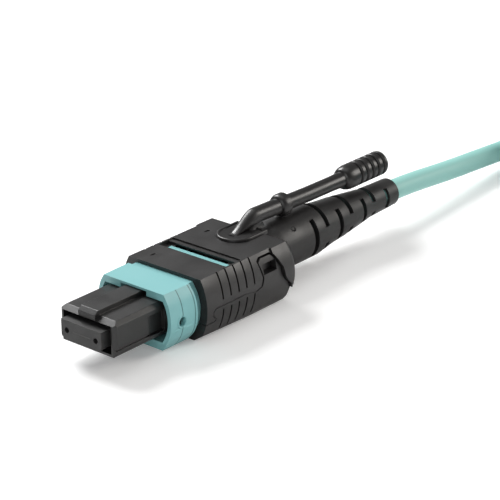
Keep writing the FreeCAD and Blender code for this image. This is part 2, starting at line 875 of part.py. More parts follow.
def make_sleeve():
    body = new_body("coupling_sleeve")
    front, rear = dims.sleeve_front, dims.sleeve_rear
    prism(body, "Pad", front, dims.neck_front - front, sleeve_section(NIL, NIL))
    prism(body, "Pad", dims.neck_front, dims.neck_long,
          sleeve_section(-dims.neck_deep, dims.sleeve_step - dims.neck_deep))
    prism(body, "Pad", grip_front, rear - grip_front, sleeve_section(NIL, dims.sleeve_step))
    opening = tub(dims.opening_top_half, dims.opening_top, dims.opening_mid_half, dims.sleeve_mid_height,
                  dims.opening_foot_half, -dims.opening_bottom)
    prism(body, "Pocket", front, dims.opening_deep, opening)
    prism(body, "Pocket", opening_rear, rear - opening_rear, housing_section(dims.slide_gap))
    notch = oblong(dims.notch_wide / 2, NIL, dims.notch_top)
    prism(body, "Pocket", front, dims.opening_deep, notch)
    # round room behind for the crimp ring, which the sleeve's rear slides over
    ring_room = ring_front - dims.release_travel - dims.slide_gap * 2
    prism(body, "Pocket", ring_room, rear - ring_room, (NIL, NIL, ring_radius + dims.slide_gap * 2))
    channel = (dims.coil_across, dims.coil_height, dims.coil_wide / 2 + dims.slide_gap)
    mirrored(body, prism(body, "Pocket", dims.coil_front - dims.seat_gap,
                         rear - dims.coil_front + dims.seat_gap, channel))
    # round hole through each side
    before = volume_of(body)
    sketch = new_sketch(body, XZ)
    draw(sketch, [(dims.sleeve_front + dims.peep_back, dims.peep_height, dims.peep_hole / 2)])
    hole = body.newObject("PartDesign::Pocket", "peep_hole")
    hole.Profile = sketch
    bind(hole, "Length", dims.sleeve_mid_half * 3)
    hole.SideType = "Symmetric"
    checked(body, hole, before, False)
    return body


# ---------------------------------------------------------------------------------------------
# Push-pull tab: upper shell, lower shell and rod
# ---------------------------------------------------------------------------------------------

def seam_line(gap, latch_gap):
    """The seam of the two shells seen from the side, front to rear, moved down by a gap where it
    bounds the lower shell. At the front the lower shell has a hook that the upper one drops behind.
    Further back it rises in a latch tab, which keeps latch_gap all round."""
    low = dims.seam_height - gap
    front, rear = dims.tab_front, dims.tab_rear
    hook = dims.seam_height - dims.hook_down
    hook_rear = front + dims.hook_long + gap
    hook_neck = hook_rear - dims.hook_lip
    latch_front = dims.latch_tab_front + latch_gap
    latch_rear = dims.latch_tab_rear - gap
    latch_top = dims.latch_tab_top - latch_gap
    lean, step = dims.latch_lean, dims.latch_step
    return [
        (front - 1, hook - gap),
        (hook_rear - dims.hook_lip / 3, hook - gap),
        (hook_rear, hook + dims.hook_lip / 2),
        (hook_neck, hook + dims.hook_lip * 1.25 + gap),
        (hook_neck, low - lean),
        (hook_neck + lean, low),
        (latch_front - step * 3, low),
        (latch_front - step, low - lean),
        (latch_front, low),
        (latch_front + lean, low + step),
        (latch_front - lean / 2, latch_top - lean),
        (latch_front + lean, latch_top),
        (latch_rear - step * 1.5, latch_top),
        (latch_rear - step, latch_top - lean),
        (latch_rear, low + step * 1.5),
        (latch_rear + lean, low),
        (latch_rear + step, low - lean * 2),
        (latch_rear + step * 1.7, low - step * 1.4),
        (latch_rear + step * 1.9, low - step * 2),
        (rear + 1, low - step * 2),
    ]


def bevelled(body, front, section, *more):
    """A section carried from front to the tab's rear, where it draws in by the rear bevel. The
    section takes the inset first and then whatever more is given."""
    bevel_front = dims.tab_rear - dims.rear_bevel
    prism(body, "Pad", front, bevel_front - front, section(NIL, *more))
    before = volume_of(body)
    full = new_sketch(body, YZ, bevel_front)
    draw(full, [section(NIL, *more)])
    drawn_in = new_sketch(body, YZ, dims.tab_rear)
    draw(drawn_in, [section(dims.rear_bevel, *more)])
    loft = body.newObject("PartDesign::AdditiveLoft", "rear_bevel")
    loft.Profile = full
    loft.Sections = [drawn_in]
    loft.Ruled = True
    checked(body, loft, before, True)


def tab_blank(body):
    """What both shells start from: the whole tab's outside."""
    bevelled(body, dims.tab_front, tab_section)
    for side in (1, -1):
        before = volume_of(body)
        first = new_sketch(body, YZ, dims.tab_front)
        draw(first, [corner_wedge(dims.pare_front, side)])
        last = new_sketch(body, YZ, dims.tab_rear)
        draw(last, [corner_wedge(dims.pare_rear, side)])
        loft = body.newObject("PartDesign::SubtractiveLoft", "pared_corner")
        loft.Profile = first
        loft.Sections = [last]
        loft.Ruled = True
        checked(body, loft, before, False)


def tab_hollow(body):
    """The hollow: a lip that drops into the sleeve's neck, the seat round the sleeve, the chamber
    behind it, and the round way out for the boot."""
    gap = dims.slide_gap
    front = dims.tab_front
    seat_front = grip_front - dims.seat_gap
    prism(body, "Pocket", front, seat_front - front,
          sleeve_section(gap - dims.neck_deep, dims.sleeve_step - dims.neck_deep))
    prism(body, "Pocket", seat_front, cavity_front - seat_front, sleeve_section(gap, dims.sleeve_step))
    roof = dims.boot_radius + dims.tab_roof_gap
    for start, stop, inset in (
        (cavity_front, stop_rib_rear, dims.stop_rib_high),
        (stop_rib_rear, end_wall_front, -gap),
    ):
        chamber = tub(dims.sleeve_top_half - inset, roof,
                      dims.sleeve_mid_half - inset, dims.sleeve_mid_height,
                      dims.sleeve_foot_half - inset, inset - dims.sleeve_bottom)
        prism(body, "Pocket", start, stop - start, chamber)
    way_out = dims.boot_radius + dims.tab_collar_gap
    prism(body, "Pocket", end_wall_front, dims.tab_end_wall * 2, (NIL, NIL, way_out))


def rib_cuts(body, front, top, via, foot):
    """A row of fine grip cuts on both sides. Each follows the bow of the wall at rib depth; top, via
    and foot are points (across, up) of the wall."""
    out = dims.tab_mid_half + 1
    deep = dims.rib_deep
    pair = [
        [
            ((top[0] - deep) * side, top[1]),
            (out * side, top[1]),
            (out * side, foot[1]),
            ((foot[0] - deep) * side, foot[1], (via[0] - deep) * side, via[1]),
        ]
        for side in (1, -1)
    ]
    return row_of(body, prism(body, "Pocket", front, dims.rib_cut, *pair), dims.rib_pitch, dims.rib_count)


def make_upper_shell():
    body = new_body("tab_upper_shell")
    tab_blank(body)
    # rear lobes that stand proud on both sides
    bevelled(body, dims.lobe_front, lobe_section, 1)
    bevelled(body, dims.lobe_front, lobe_section, -1)
    tab_hollow(body)
    # window across the roof, and the fine line behind its ridge
    window = [
        (dims.window_front, -dims.window_half),
        (dims.window_front + dims.window_long, -dims.window_half),
        (dims.window_front + dims.window_long, dims.window_half),
        (dims.window_front, dims.window_half),
    ]
    over_sleeve = dims.tab_top - dims.sleeve_top + dims.sleeve_step
    side_cut(body, "Pocket", XY, over_sleeve * 2, window, lift=dims.tab_top)
    ridge_front = dims.window_front + dims.window_long
    for front, long, deep in (
        (ridge_front, dims.ridge_long, dims.ridge_drop),
        (ridge_front + dims.ridge_long, dims.line_long, dims.line_deep),
    ):
        prism(body, "Pocket", front, long,
              oblong(dims.window_half, dims.tab_top - deep, dims.tab_top + 1))
    # two small ejector marks on the roof
    for front, across in (
        (dims.mark_front, dims.mark_front_across),
        (dims.mark_rear, dims.mark_rear_across),
    ):
        mark = [
            (front, across - dims.mark_wide / 2),
            (front + dims.mark_long, across - dims.mark_wide / 2),
            (front + dims.mark_long, across + dims.mark_wide / 2),
            (front, across + dims.mark_wide / 2),
        ]
        side_cut(body, "Pocket", XY, dims.mark_deep * 2, mark, lift=dims.tab_top)
    # shallow seat for the rod's tongue
    side_cut(body, "Pocket", XY, dims.tongue_sunk * 2, tongue_outline(dims.slide_gap), lift=dims.tab_top)
    # everything below the seam belongs to the lower shell
    below = seam_line(NIL, NIL)
    below += [(dims.tab_rear + 1, -dims.tab_bottom - 1), (dims.tab_front - 1, -dims.tab_bottom - 1)]
    side_cut(body, "Pocket", XZ, dims.tab_mid_half * 3, below)
    rib_cuts(body, dims.rib_front,
             (dims.tab_top_half, dims.tab_top),
             (dims.tab_shoulder_half, dims.tab_shoulder_height),
             (dims.tab_mid_half, dims.rib_foot))
    # arm under the roof on each side, whose barb snaps into the latch tab's hole
    gap = dims.slide_gap
    roof = dims.boot_radius + dims.tab_roof_gap
    snap_front = dims.snap_front + gap
    snap_long = dims.snap_long - gap * 2
    low = dims.snap_height + gap
    high = dims.snap_height + dims.snap_high - gap
    arms = []
    for side in (1, -1):
        arms.append([
            (dims.snap_arm_in * side, low),
            (dims.snap_arm_in * side, roof + gap),
            (dims.snap_arm_out * side, roof + gap),
            (dims.snap_arm_out * side, high),
            ((dims.snap_tip - gap * 4) * side, high),
            (dims.snap_tip * side, low),
        ])
    prism(body, "Pad", snap_front, snap_long, *arms)
    return body


def make_lower_shell():
    body = new_body("tab_lower_shell")
    tab_blank(body)
    tab_hollow(body)
    above = seam_line(dims.seam_gap, dims.latch_gap)
    above += [(dims.tab_rear + 1, dims.tab_top + 1), (dims.tab_front - 1, dims.tab_top + 1)]
    side_cut(body, "Pocket", XZ, dims.tab_mid_half * 3, above)
    # hole in each latch tab for the snap
    snap = [
        (dims.snap_front, dims.snap_height),
        (dims.snap_front + dims.snap_long, dims.snap_height),
        (dims.snap_front + dims.snap_long, dims.snap_height + dims.snap_high),
        (dims.snap_front, dims.snap_height + dims.snap_high),
    ]
    side_cut(body, "Pocket", XZ, dims.tab_mid_half * 3, snap)
    rib_cuts(body, dims.low_rib_front,
             (dims.tab_mid_half, dims.low_rib_top),
             (dims.tab_hip_half, -dims.tab_hip),
             (dims.tab_waist_half, -dims.tab_waist))
    return body


def tongue_outline(gap):
    """The rod's flat tongue seen from above: a round nose and straight sides."""
    half = dims.tongue_half + gap
    nose = dims.tongue_front - gap
    straight = dims.tongue_front + dims.tongue_half
    rear = dims.tab_rear + dims.slide_gap
    return [(rear, -half), (rear, half), (straight, half, nose, NIL), (straight, -half)]


def make_rod():
    body = new_body("pull_rod")
    before = volume_of(body)
    sketch = new_sketch(body, XY, dims.tab_top - dims.tongue_sunk)
    draw(sketch, [tongue_outline(NIL)])
    tongue = body.newObject("PartDesign::Pad", "tongue")
    tongue.Profile = sketch
    bind(tongue, "Length", dims.tongue_thick)
    checked(body, tongue, before, True)
    root = oblong(dims.rod_radius * 0.8, dims.tab_top - dims.tongue_sunk, dims.rod_height)
    prism(body, "Pad", dims.rod_front, dims.root_long, root)
    # front length, level, with the stop that the upper shell is pressed home by
    radius = dims.rod_radius
    stop_rear = dims.stop_front + dims.stop_long
    rod_length(body, dims.rod_front, dims.rod_height, [
        (NIL, NIL),
        (NIL, radius),
        (dims.stop_front - dims.rod_front, radius),
        (dims.stop_front + dims.stop_long / 2 - dims.rod_front, dims.stop_radius),
        (stop_rear - dims.rod_front, dims.stop_radius),
        (stop_rear - dims.rod_front, NIL),
    ])
    # bend down to the handle's lower axis
    before = volume_of(body)
    upper = new_sketch(body, YZ, stop_rear)
    draw(upper, [(NIL, dims.rod_height, radius)])
    lower = new_sketch(body, YZ, dims.bend_rear)
    draw(lower, [(NIL, dims.handle_height, radius)])
    bend = body.newObject("PartDesign::AdditiveLoft", "bend")
    bend.Profile = upper
    bend.Sections = [lower]
    bend.Ruled = True
    checked(body, bend, before, True)
    # handle: a straight length, a domed knob and its rings
    knob = dims.knob_front - dims.bend_rear
    knob_end = dims.knob_rear - dims.bend_rear
    big = dims.knob_radius
    profile = [
        (NIL, NIL),
        (NIL, radius),
        (knob, radius),
        (knob + dims.knob_dome * 0.15, big * 0.80),
        (knob + dims.knob_dome * 0.5, big),
        (knob + dims.knob_dome, big * 0.95),
    ]
    first = knob_end - dims.ring_pitch * dims.ring_count
    for n in range(int(dims.ring_count.value)):
        crest = first + dims.ring_pitch * n
        profile += [
            (crest, big - dims.ring_deep),
            (crest + dims.ring_cut / 2, big),
            (crest + dims.ring_pitch - dims.ring_cut / 2, big),
        ]
    profile += [(knob_end, big - dims.ring_deep), (knob_end, NIL)]
    rod_length(body, dims.bend_rear, dims.handle_height, profile)
    return body


def rod_length(body, front, height, profile):
    """Turns one length of the rod about its own level axis, from front rearwards."""
    before = volume_of(body)
    sketch = new_sketch(body, XZ)
    sketch.setExpression("AttachmentOffset.Base.x", front.text)
    sketch.setExpression("AttachmentOffset.Base.y", height.text)
    draw(sketch, [profile])
    turn = body.newObject("PartDesign::Revolution", "rod_length")
    turn.Profile = sketch
    turn.ReferenceAxis = (sketch, ["H_Axis"])
    turn.Angle = 360
    return checked(body, turn, before, True)


# ---------------------------------------------------------------------------------------------
# Strain-relief boot
# ---------------------------------------------------------------------------------------------

def make_boot():
    body = new_body("boot")
    front, rear = boot_front, dims.boot_rear
    big, small = dims.boot_radius, dims.boot_end_radius
    ring_bore = ring_radius + dims.cable_gap
    neck_bore = ring_neck_radius + dims.cable_gap
    cable_bore = cable_radius + dims.boot_bore_gap
    neck_front = ring_shoulder + dims.cable_gap
    neck_rear = ring_neck_rear + dims.cable_gap
    taper_front, taper_rear = dims.boot_taper_front, dims.boot_taper_rear
    taper_long = taper_rear - taper_front
    fall = big - small
    turned(body, "Revolution", XZ, 360, [
        (front, ring_bore),
        (neck_front, ring_bore),
        (neck_front, neck_bore),
        (neck_rear, neck_bore),
        (neck_rear, cable_bore),
        (rear, cable_bore),
        (rear, small),
        (taper_rear, small + fall * dims.boot_rear_share),
        (taper_front + taper_long / 2, small + fall * dims.boot_mid_share),
        (taper_front, big),
        (front, big),
    ])
    # flexing slots: pairs left and right, then pairs above and below, in turn along the boot
    for plane, at, angle, count in (
        (XY, dims.side_slot_front, dims.side_slot_turn, dims.side_slot_count),
        (XZ, dims.top_slot_front, dims.top_slot_turn, dims.top_slot_count),
    ):
        near = cable_bore * 0.9
        pair = [
            [(at, near * side), (at + dims.slot_long, near * side),
             (at + dims.slot_long, (big + 1) * side), (at, (big + 1) * side)]
            for side in (1, -1)
        ]
        row_of(body, turned(body, "Groove", plane, angle, *pair), dims.slot_pitch, count)
    return body


# ---------------------------------------------------------------------------------------------
# Cable: lead, put-away hank and tail
# ---------------------------------------------------------------------------------------------

# the route's corners, from the jacket's start in the boot to the hank, chosen for how it lies
LEAD = [
    (30.0, 0.0, 0.0), (45.0, 0.0, 0.02), (60.5, 0.0, 0.03), (72.5, 0.0, -0.90),
    (81.5, 0.0, -1.64), (88.0, 0.0, -2.10), (93.8, 2.1, -2.50),
]
# and from the far plug's boot round to the hank's upper layer
TAIL = [
    (88.5, -23.3, 0.0), (103.0, -23.3, 0.03), (118.5, -23.3, -0.03), (132.54, -23.3, 0.60),
    (141.08, -14.76, 2.0), (141.08, -2.68, 3.8), (132.54, 5.86, 5.1), (121.0, 5.86, 5.35),
]


def route_wire(name, corners):
    """Straight runs joined by tangent arcs, each arc as large as its two runs allow."""
    spots = [FreeCAD.Vector(*corner) for corner in corners]
    edges = []
    last = spots[0]
    radii = []
    for before, here, after in zip(spots, spots[1:], spots[2:]):
        back = (before - here)
        ahead = (after - here)
        reach = 0.45 * min(back.Length, ahead.Length)
        back.normalize()
        ahead.normalize()
        turn = math.pi - back.getAngle(ahead)
        radius = reach / math.tan(turn / 2)
        radii.append(round(radius, 1))
        enter = here + back * reach
        leave = here + ahead * reach
        middle = (back + ahead)
        middle.normalize()
        sag = radius * (1 / math.cos(turn / 2) - 1)
        edges.append(Part.LineSegment(last, enter).toShape())
        edges.append(Part.Arc(enter, here + middle * sag, leave).toShape())
        last = leave
    edges.append(Part.LineSegment(last, spots[-1]).toShape())
    wire = Part.Wire(edges)
    print(f"{name}: {wire.Length:.1f} mm, radii {radii}")
    return wire


def make_tube(label, corners):
    """The round jacket along a route, swept from one circle."""
    path = doc.addObject("Part::Feature", label + "_path")
    path.Shape = route_wire(label, corners)
    ring = doc.addObject("Part::Circle", label + "_section")
    ring.setExpression("Radius", cable_radius.text)
    start = FreeCAD.Vector(*corners[0])
    heading = FreeCAD.Vector(*corners[1]) - start
    ring.Placement = FreeCAD.Placement(start, FreeCAD.Rotation(FreeCAD.Vector(0, 0, 1), heading))
    tube = doc.addObject("Part::Sweep", label)
    tube.Sections = [ring]
    tube.Spine = (path, [f"Edge{n + 1}" for n in range(len(path.Shape.Edges))])
    tube.Solid = True
    tube.Frenet = False
    pieces[label] = tube
    doc.recompute()
    expected = math.pi * cable_radius.value ** 2 * path.Shape.Length
    print(f"{label}: volume {tube.Shape.Volume:.2f}, section times length {expected:.2f}")
    if abs(tube.Shape.Volume / expected - 1) > 0.005:
        raise RuntimeError(label + " lost its section on the way")
    return tube


def make_coil():
    """The put-away turns as one closed solid: an oval ring that stands on the plug's lowest level."""
    body = new_body("cable_coil")
    body.setExpression("Placement.Base.x", dims.hank_x.text)
    body.setExpression("Placement.Base.y", dims.hank_y.text)
    half = dims.hank_straight / 2
    ovals = [
        [
            (half, -radius, half + radius, NIL),
            (half, radius),
            (-half, radius, -half - radius, NIL),
            (-half, -radius),
        ]
        for radius in (dims.hank_outer, dims.hank_inner)
    ]
    sketch = new_sketch(body, XY, -dims.tab_bottom)
    draw(sketch, ovals)
    turns = body.newObject("PartDesign::Pad", "turns")
    turns.Profile = sketch
    bind(turns, "Length", dims.cable_wide * dims.hank_layers)
    checked(body, turns, 0.0, True)
    return body


# ---------------------------------------------------------------------------------------------
# The lead: one plug, its twin at the far end, and the cable between them
# ---------------------------------------------------------------------------------------------

make_ferrule()
make_insert()
make_keeper()
make_ribbon()
make_oval_spring()
make_housing()
make_rear_body()
make_yarn()
make_crimp_ring()
make_sleeve()
make_coil_spring("sleeve_spring_left", 1)
make_coil_spring("sleeve_spring_right", -1)
make_upper_shell()
make_lower_shell()
make_rod()
make_boot()
doc.recompute()

far_place = FreeCAD.Placement(FreeCAD.Vector(dims.far_x.value, dims.far_y.value, 0), FreeCAD.Rotation())
for label in list(pieces):
    twin = doc.addObject("App::Link", "far_" + label)
    twin.LinkedObject = pieces[label]
    twin.LinkTransform = True
    twin.Placement = far_place
    twin.Label = "far_" + label
    pieces["far_" + label] = twin

make_tube("cable_lead", LEAD)
make_coil()
make_tube("cable_tail", TAIL)
doc.recompute()

# every object has to be sound before anything is written
for item in doc.Objects:
    if "Invalid" in item.State or "Error" in item.State:
        raise RuntimeError(f"{item.Label} failed: {item.State}")
shapes = {}
for label, piece in pieces.items():
    shape = Part.getShape(piece)
    if shape.isNull() or not shape.isValid():
        raise RuntimeError(f"{label} has no valid shape")
    if len(shape.Solids) != 1:
        raise RuntimeError(f"{label} is {len(shape.Solids)} solids")
    shapes[label] = shape.Solids[0]

os.makedirs("parts", exist_ok=True)
facets = 0
for label, shape in shapes.items():
    shape.exportStep(f"parts/{label}.step")
    facets += len(shape.tessellate(0.05)[1])
print(f"{len(shapes)} pieces, about {facets} facets")
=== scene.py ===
# %% [markdown]
# # A push-pull fibre plug and its lead
# This plug joins twelve glass fibres at once, and a long rod lets fingers pull it out of a crowded
# panel. It is small: its ferrule is 6.4 mm wide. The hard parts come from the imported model, and this
# file gives them their rounded edges, their finishes and the light. Everything is in metres, in the
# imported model's frame: the ferrule's face is at the origin, the cable leaves towards +X, and the key
# side is up.

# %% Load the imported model
import json
import math
import bmesh
import bpy
import numpy as np
from mathutils import Matrix, Vector

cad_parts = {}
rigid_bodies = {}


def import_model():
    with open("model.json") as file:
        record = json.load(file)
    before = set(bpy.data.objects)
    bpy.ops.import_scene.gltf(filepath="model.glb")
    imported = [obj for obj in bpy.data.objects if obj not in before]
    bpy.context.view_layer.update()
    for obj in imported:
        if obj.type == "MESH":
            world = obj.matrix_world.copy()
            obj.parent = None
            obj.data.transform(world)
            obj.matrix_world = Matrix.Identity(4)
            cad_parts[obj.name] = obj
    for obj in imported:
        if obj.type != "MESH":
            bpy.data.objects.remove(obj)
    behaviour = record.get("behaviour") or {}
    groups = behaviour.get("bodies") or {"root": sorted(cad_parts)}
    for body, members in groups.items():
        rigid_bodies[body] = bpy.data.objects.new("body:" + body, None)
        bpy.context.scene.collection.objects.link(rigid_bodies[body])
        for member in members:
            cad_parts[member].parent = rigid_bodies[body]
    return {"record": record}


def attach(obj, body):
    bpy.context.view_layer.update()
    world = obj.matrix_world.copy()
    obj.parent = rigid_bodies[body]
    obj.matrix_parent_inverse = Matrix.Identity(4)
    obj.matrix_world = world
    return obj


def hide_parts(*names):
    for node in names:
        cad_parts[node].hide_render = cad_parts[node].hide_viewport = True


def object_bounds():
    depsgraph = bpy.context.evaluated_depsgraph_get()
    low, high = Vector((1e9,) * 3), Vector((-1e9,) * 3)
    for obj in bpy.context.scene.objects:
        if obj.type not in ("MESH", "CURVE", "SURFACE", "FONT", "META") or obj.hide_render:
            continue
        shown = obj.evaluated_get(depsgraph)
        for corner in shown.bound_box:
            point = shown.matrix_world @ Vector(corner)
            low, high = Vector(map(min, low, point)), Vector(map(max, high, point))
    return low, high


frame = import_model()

MM = 0.001
cad_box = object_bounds()
print("the model's box in metres:", cad_box)

# %% [markdown]
# ## From data to object
# In Blender a mesh, a curve, a camera or a lamp is only data. It shows once an object holds it and a
# collection holds the object. Every new thing here takes these two steps, so they are one helper.


# %% Put data into the scene
def shown(name, data):
    """A new object that holds a mesh, a curve, a camera or a lamp, linked to the scene."""
    item = bpy.data.objects.new(name, data)
    bpy.context.collection.objects.link(item)
    return item


# %% [markdown]
# ## Camera
# A wide lens held close would make the near end of so small a part look huge. A long lens from further
# away keeps its edges nearly parallel, so its proportions can be read. It looks from the front left and
# a little above. The view's right, up and back directions are the columns of the camera's turn.

# %% Place the camera
VIEW_RIGHT = Vector((0.64871, -0.76096, -0.01042))
VIEW_UP = Vector((0.30251, 0.24527, 0.92105))
VIEW_BACK = Vector((-0.69833, -0.60064, 0.38931))
VIEW_FROM = Vector((-0.143988, -0.149432, 0.097698))
camera = bpy.data.cameras.new("camera")
camera.sensor_width = 36
camera.lens = 144
camera.clip_start = 0.01
camera_object = shown("camera", camera)
turn = Matrix((VIEW_RIGHT, VIEW_UP, VIEW_BACK)).transposed().to_4x4()
camera_object.matrix_world = Matrix.Translation(VIEW_FROM) @ turn
bpy.context.scene.camera = camera_object
bpy.context.scene.view_settings.view_transform = "Standard"
print("camera", [round(v, 4) for v in VIEW_FROM], "lens", camera.lens)

# %% [markdown]
# ## Colours and nodes
# Colours are picked as sRGB hex values, and Blender mixes in linear light, so one function turns them.
# Each finish is a small tree of nodes that ends in the shader. Building it takes three moves: start a
# material, add a node with its settings, and join an output to an input. There is a helper for each.


# %% Four small helpers
def linear(hex_colour):
    """The linear RGBA of an sRGB hex colour such as #1c1c1d, by the standard's two-part curve."""
    parts = [int(hex_colour[n:n + 2], 16) / 255 for n in (1, 3, 5)]
    return [p / 12.92 if p <= 0.04045 else ((p + 0.055) / 1.055) ** 2.4 for p in parts] + [1.0]


def blank(name):
    """A new material and its shader."""
    material = bpy.data.materials.new(name)
    material.use_nodes = True
    return material, material.node_tree.nodes["Principled BSDF"]


def link(material, output, socket):
    """Joins a node's output to another node's input."""
    material.node_tree.links.new(output, socket)


def add(material, kind, inputs=None, **settings):
    """Adds a node. settings are its own properties; inputs are socket values, or outputs to link."""
    item = material.node_tree.nodes.new("ShaderNode" + kind)
    for name, value in settings.items():
        setattr(item, name, value)
    for name, value in (inputs or {}).items():
        if isinstance(value, bpy.types.NodeSocket):
            link(material, value, item.inputs[name])
        else:
            item.inputs[name].default_value = value
    return item


# %% [markdown]
# ## One finish for two plugs
# The lead has the same plug at both ends, and some finishes follow a place on the plug, such as the
# colours of the fibres. They could be made twice. It is simpler to bring the far plug's coordinates
# back to the near one's inside the material, and to make each finish once.

# %% A place on either plug
FAR_X, FAR_Y = 58.5, -23.3
BETWEEN_PLUGS_Y = -12


def place_on_plug(material):
    """The object coordinates, less the far plug's place wherever Y lies beyond the gap between them."""
    place = add(material, "TexCoord").outputs["Object"]
    across = add(material, "SeparateXYZ", {"Vector": place}).outputs["Y"]
    far = add(material, "Math", {0: across, 1: BETWEEN_PLUGS_Y * MM}, operation="LESS_THAN")
    back = (-FAR_X * MM, -FAR_Y * MM, 0)
    return add(material, "VectorMath", {0: far.outputs["Value"], 1: back, 2: place},
               operation="MULTIPLY_ADD").outputs["Vector"]


# %% [markdown]
# ## Moulded plastics
# Nearly every piece is injection-moulded. A mould cavity is spark-eroded, which leaves a fine grain on
# the part: it breaks up reflections and gives a satin look. A texture painted flat would have to be
# unwrapped and would smear at the edges. Noise in object coordinates needs no unwrapping and has its
# size in millimetres. The real grain is a few hundredths wide, too fine to see from here, so it is drawn
# about a tenth wide. A slower noise lets the gloss wander, as it does where the plastic flowed. Noise
# rarely leaves the middle of its range, so the gloss spans 0.3 to 0.7 of it.

# %% A moulded surface
FLOW_MM = 3.5


def moulded(name, colour, roughness, grain_mm, depth_mm, specular=0.5, flow=0.06, mottle=0.0):
    """Satin plastic. A noise as wide as grain_mm bumps the skin by depth_mm, and one as wide as FLOW_MM
    moves the roughness by flow either way and darkens the colour by up to the share mottle."""
    material, shader = blank(name)
    place = add(material, "TexCoord").outputs["Object"]
    grain = add(material, "TexNoise", {"Vector": place, "Scale": 1 / (grain_mm * MM), "Detail": 2.0})
    bump = add(material, "Bump", {"Height": grain.outputs["Fac"], "Distance": depth_mm * MM,
                                  "Strength": 1.0})
    slow = add(material, "TexNoise", {"Vector": place, "Scale": 1 / (FLOW_MM * MM), "Detail": 3.0})
    gloss = add(material, "MapRange", {"Value": slow.outputs["Fac"], "From Min": 0.3, "From Max": 0.7,
                                       "To Min": roughness - flow, "To Max": roughness + flow})
    link(material, bump.outputs["Normal"], shader.inputs["Normal"])
    link(material, gloss.outputs["Result"], shader.inputs["Roughness"])
    shader.inputs["Specular IOR Level"].default_value = specular
    if mottle:
        dark = [c * (1 - mottle) for c in linear(colour)[:3]] + [1.0]
        mix = add(material, "Mix", {"A": linear(colour), "B": dark}, data_type="RGBA")
        link(material, slow.outputs["Fac"], mix.inputs["Factor"])
        link(material, mix.outputs["Result"], shader.inputs["Base Color"])
    else:
        shader.inputs["Base Color"].default_value = linear(colour)
    return material


# %% The plastics
BOOT_COLOUR = "#1f1e1e"
# black PBT, spark-eroded: the tab, with a soft wide highlight
tab_black = moulded("black_pbt_eroded_satin", "#1e1d1d", 0.40, 0.10, 0.010)
# the same plastic where the cavity was turned and polished: the rod, with a tighter highlight
rod_black = moulded("black_pbt_turned_cavity", "#1b1a1a", 0.34, 0.09, 0.004)
# black PBT from a polished cavity: the housing and the key, a little glossier than the tab
housing_black = moulded("black_pbt_polished", "#1c1c1c", 0.38, 0.08, 0.005)
# mineral-filled PPS: the ferrule, ground flat on its face, so duller and slightly grey
ferrule_black = moulded("black_pps_mineral_filled", "#2c2c2c", 0.48, 0.06, 0.006, mottle=0.18)
# thermoplastic elastomer: the boot, soft and matte
boot_black = moulded("black_elastomer_moulded", BOOT_COLOUR, 0.47, 0.14, 0.012, specular=0.45)
# silicone rubber: the ferrule's insert, the dullest of all
insert_rubber = moulded("black_silicone", "#202020", 0.60, 0.10, 0.006)
# aqua PBT: the sleeve, whose colour tells the kind of fibre
sleeve_aqua = moulded("aqua_pbt_moulded", "#80babc", 0.40, 0.09, 0.006, mottle=0.06)
PLASTICS = (tab_black, rod_black, housing_black, ferrule_black, boot_black, insert_rubber, sleeve_aqua)
print("plastics:", [m.name for m in PLASTICS])

# %% [markdown]
# ## The boot's gate mark
# The boot is filled through one small gate in its side, which leaves a shallow round cup. Cutting it
# into the mesh would need a fine patch of faces there. It is less than a millimetre wide, so a bump does
# as well, and the shadow inside the cup is painted shade: the colour darkens towards its centre.


# %% A gate mark
def gate_dimple(material, centre_mm, radius_mm):
    """A cup 0.3 mm deep: height rises smoothly from 0.45 of the radius out to the radius, and the colour
    with it, from a painted shade at the centre to the boot's own.
    """
    centre = tuple(c * MM for c in centre_mm)
    away = add(material, "VectorMath", {0: place_on_plug(material), 1: centre}, operation="DISTANCE")
    cup = add(material, "MapRange", {"Value": away.outputs["Value"], "From Min": 0.45 * radius_mm * MM,
                                     "From Max": radius_mm * MM}, interpolation_type="SMOOTHSTEP")
    bump = add(material, "Bump", {"Height": cup.outputs["Result"], "Distance": 0.30 * MM})
    shader = material.node_tree.nodes["Principled BSDF"]
    grain = shader.inputs["Normal"].links[0].from_node
    link(material, bump.outputs["Normal"], grain.inputs["Normal"])
    # painted shade: the colour darkens to #101010 towards the cup's centre, standing in for its shadow
    shade = add(material, "Mix", {"Factor": cup.outputs["Result"], "A": linear("#101010"),
                                  "B": linear(BOOT_COLOUR)}, data_type="RGBA")
    link(material, shade.outputs["Result"], shader.inputs["Base Color"])


gate_dimple(boot_black, (35.4, -2.33, 2.50), 0.42)
print("a gate mark on each boot")

# %% [markdown]
# ## Witness lines
# The sleeve's mould closes along its sides with loose blocks, and their joints leave two fine lines down
# each side, one of them through the side hole. They are far thinner than the mesh's faces, so the finish
# draws them: near each line, on faces that look sideways, the colour darkens.

# %% Lines down the sleeve's sides
SIDE_HOLE_X = 10.78
WITNESS_LINES_X = (SIDE_HOLE_X, 12.75)
LINE_HALF_MM = 0.045


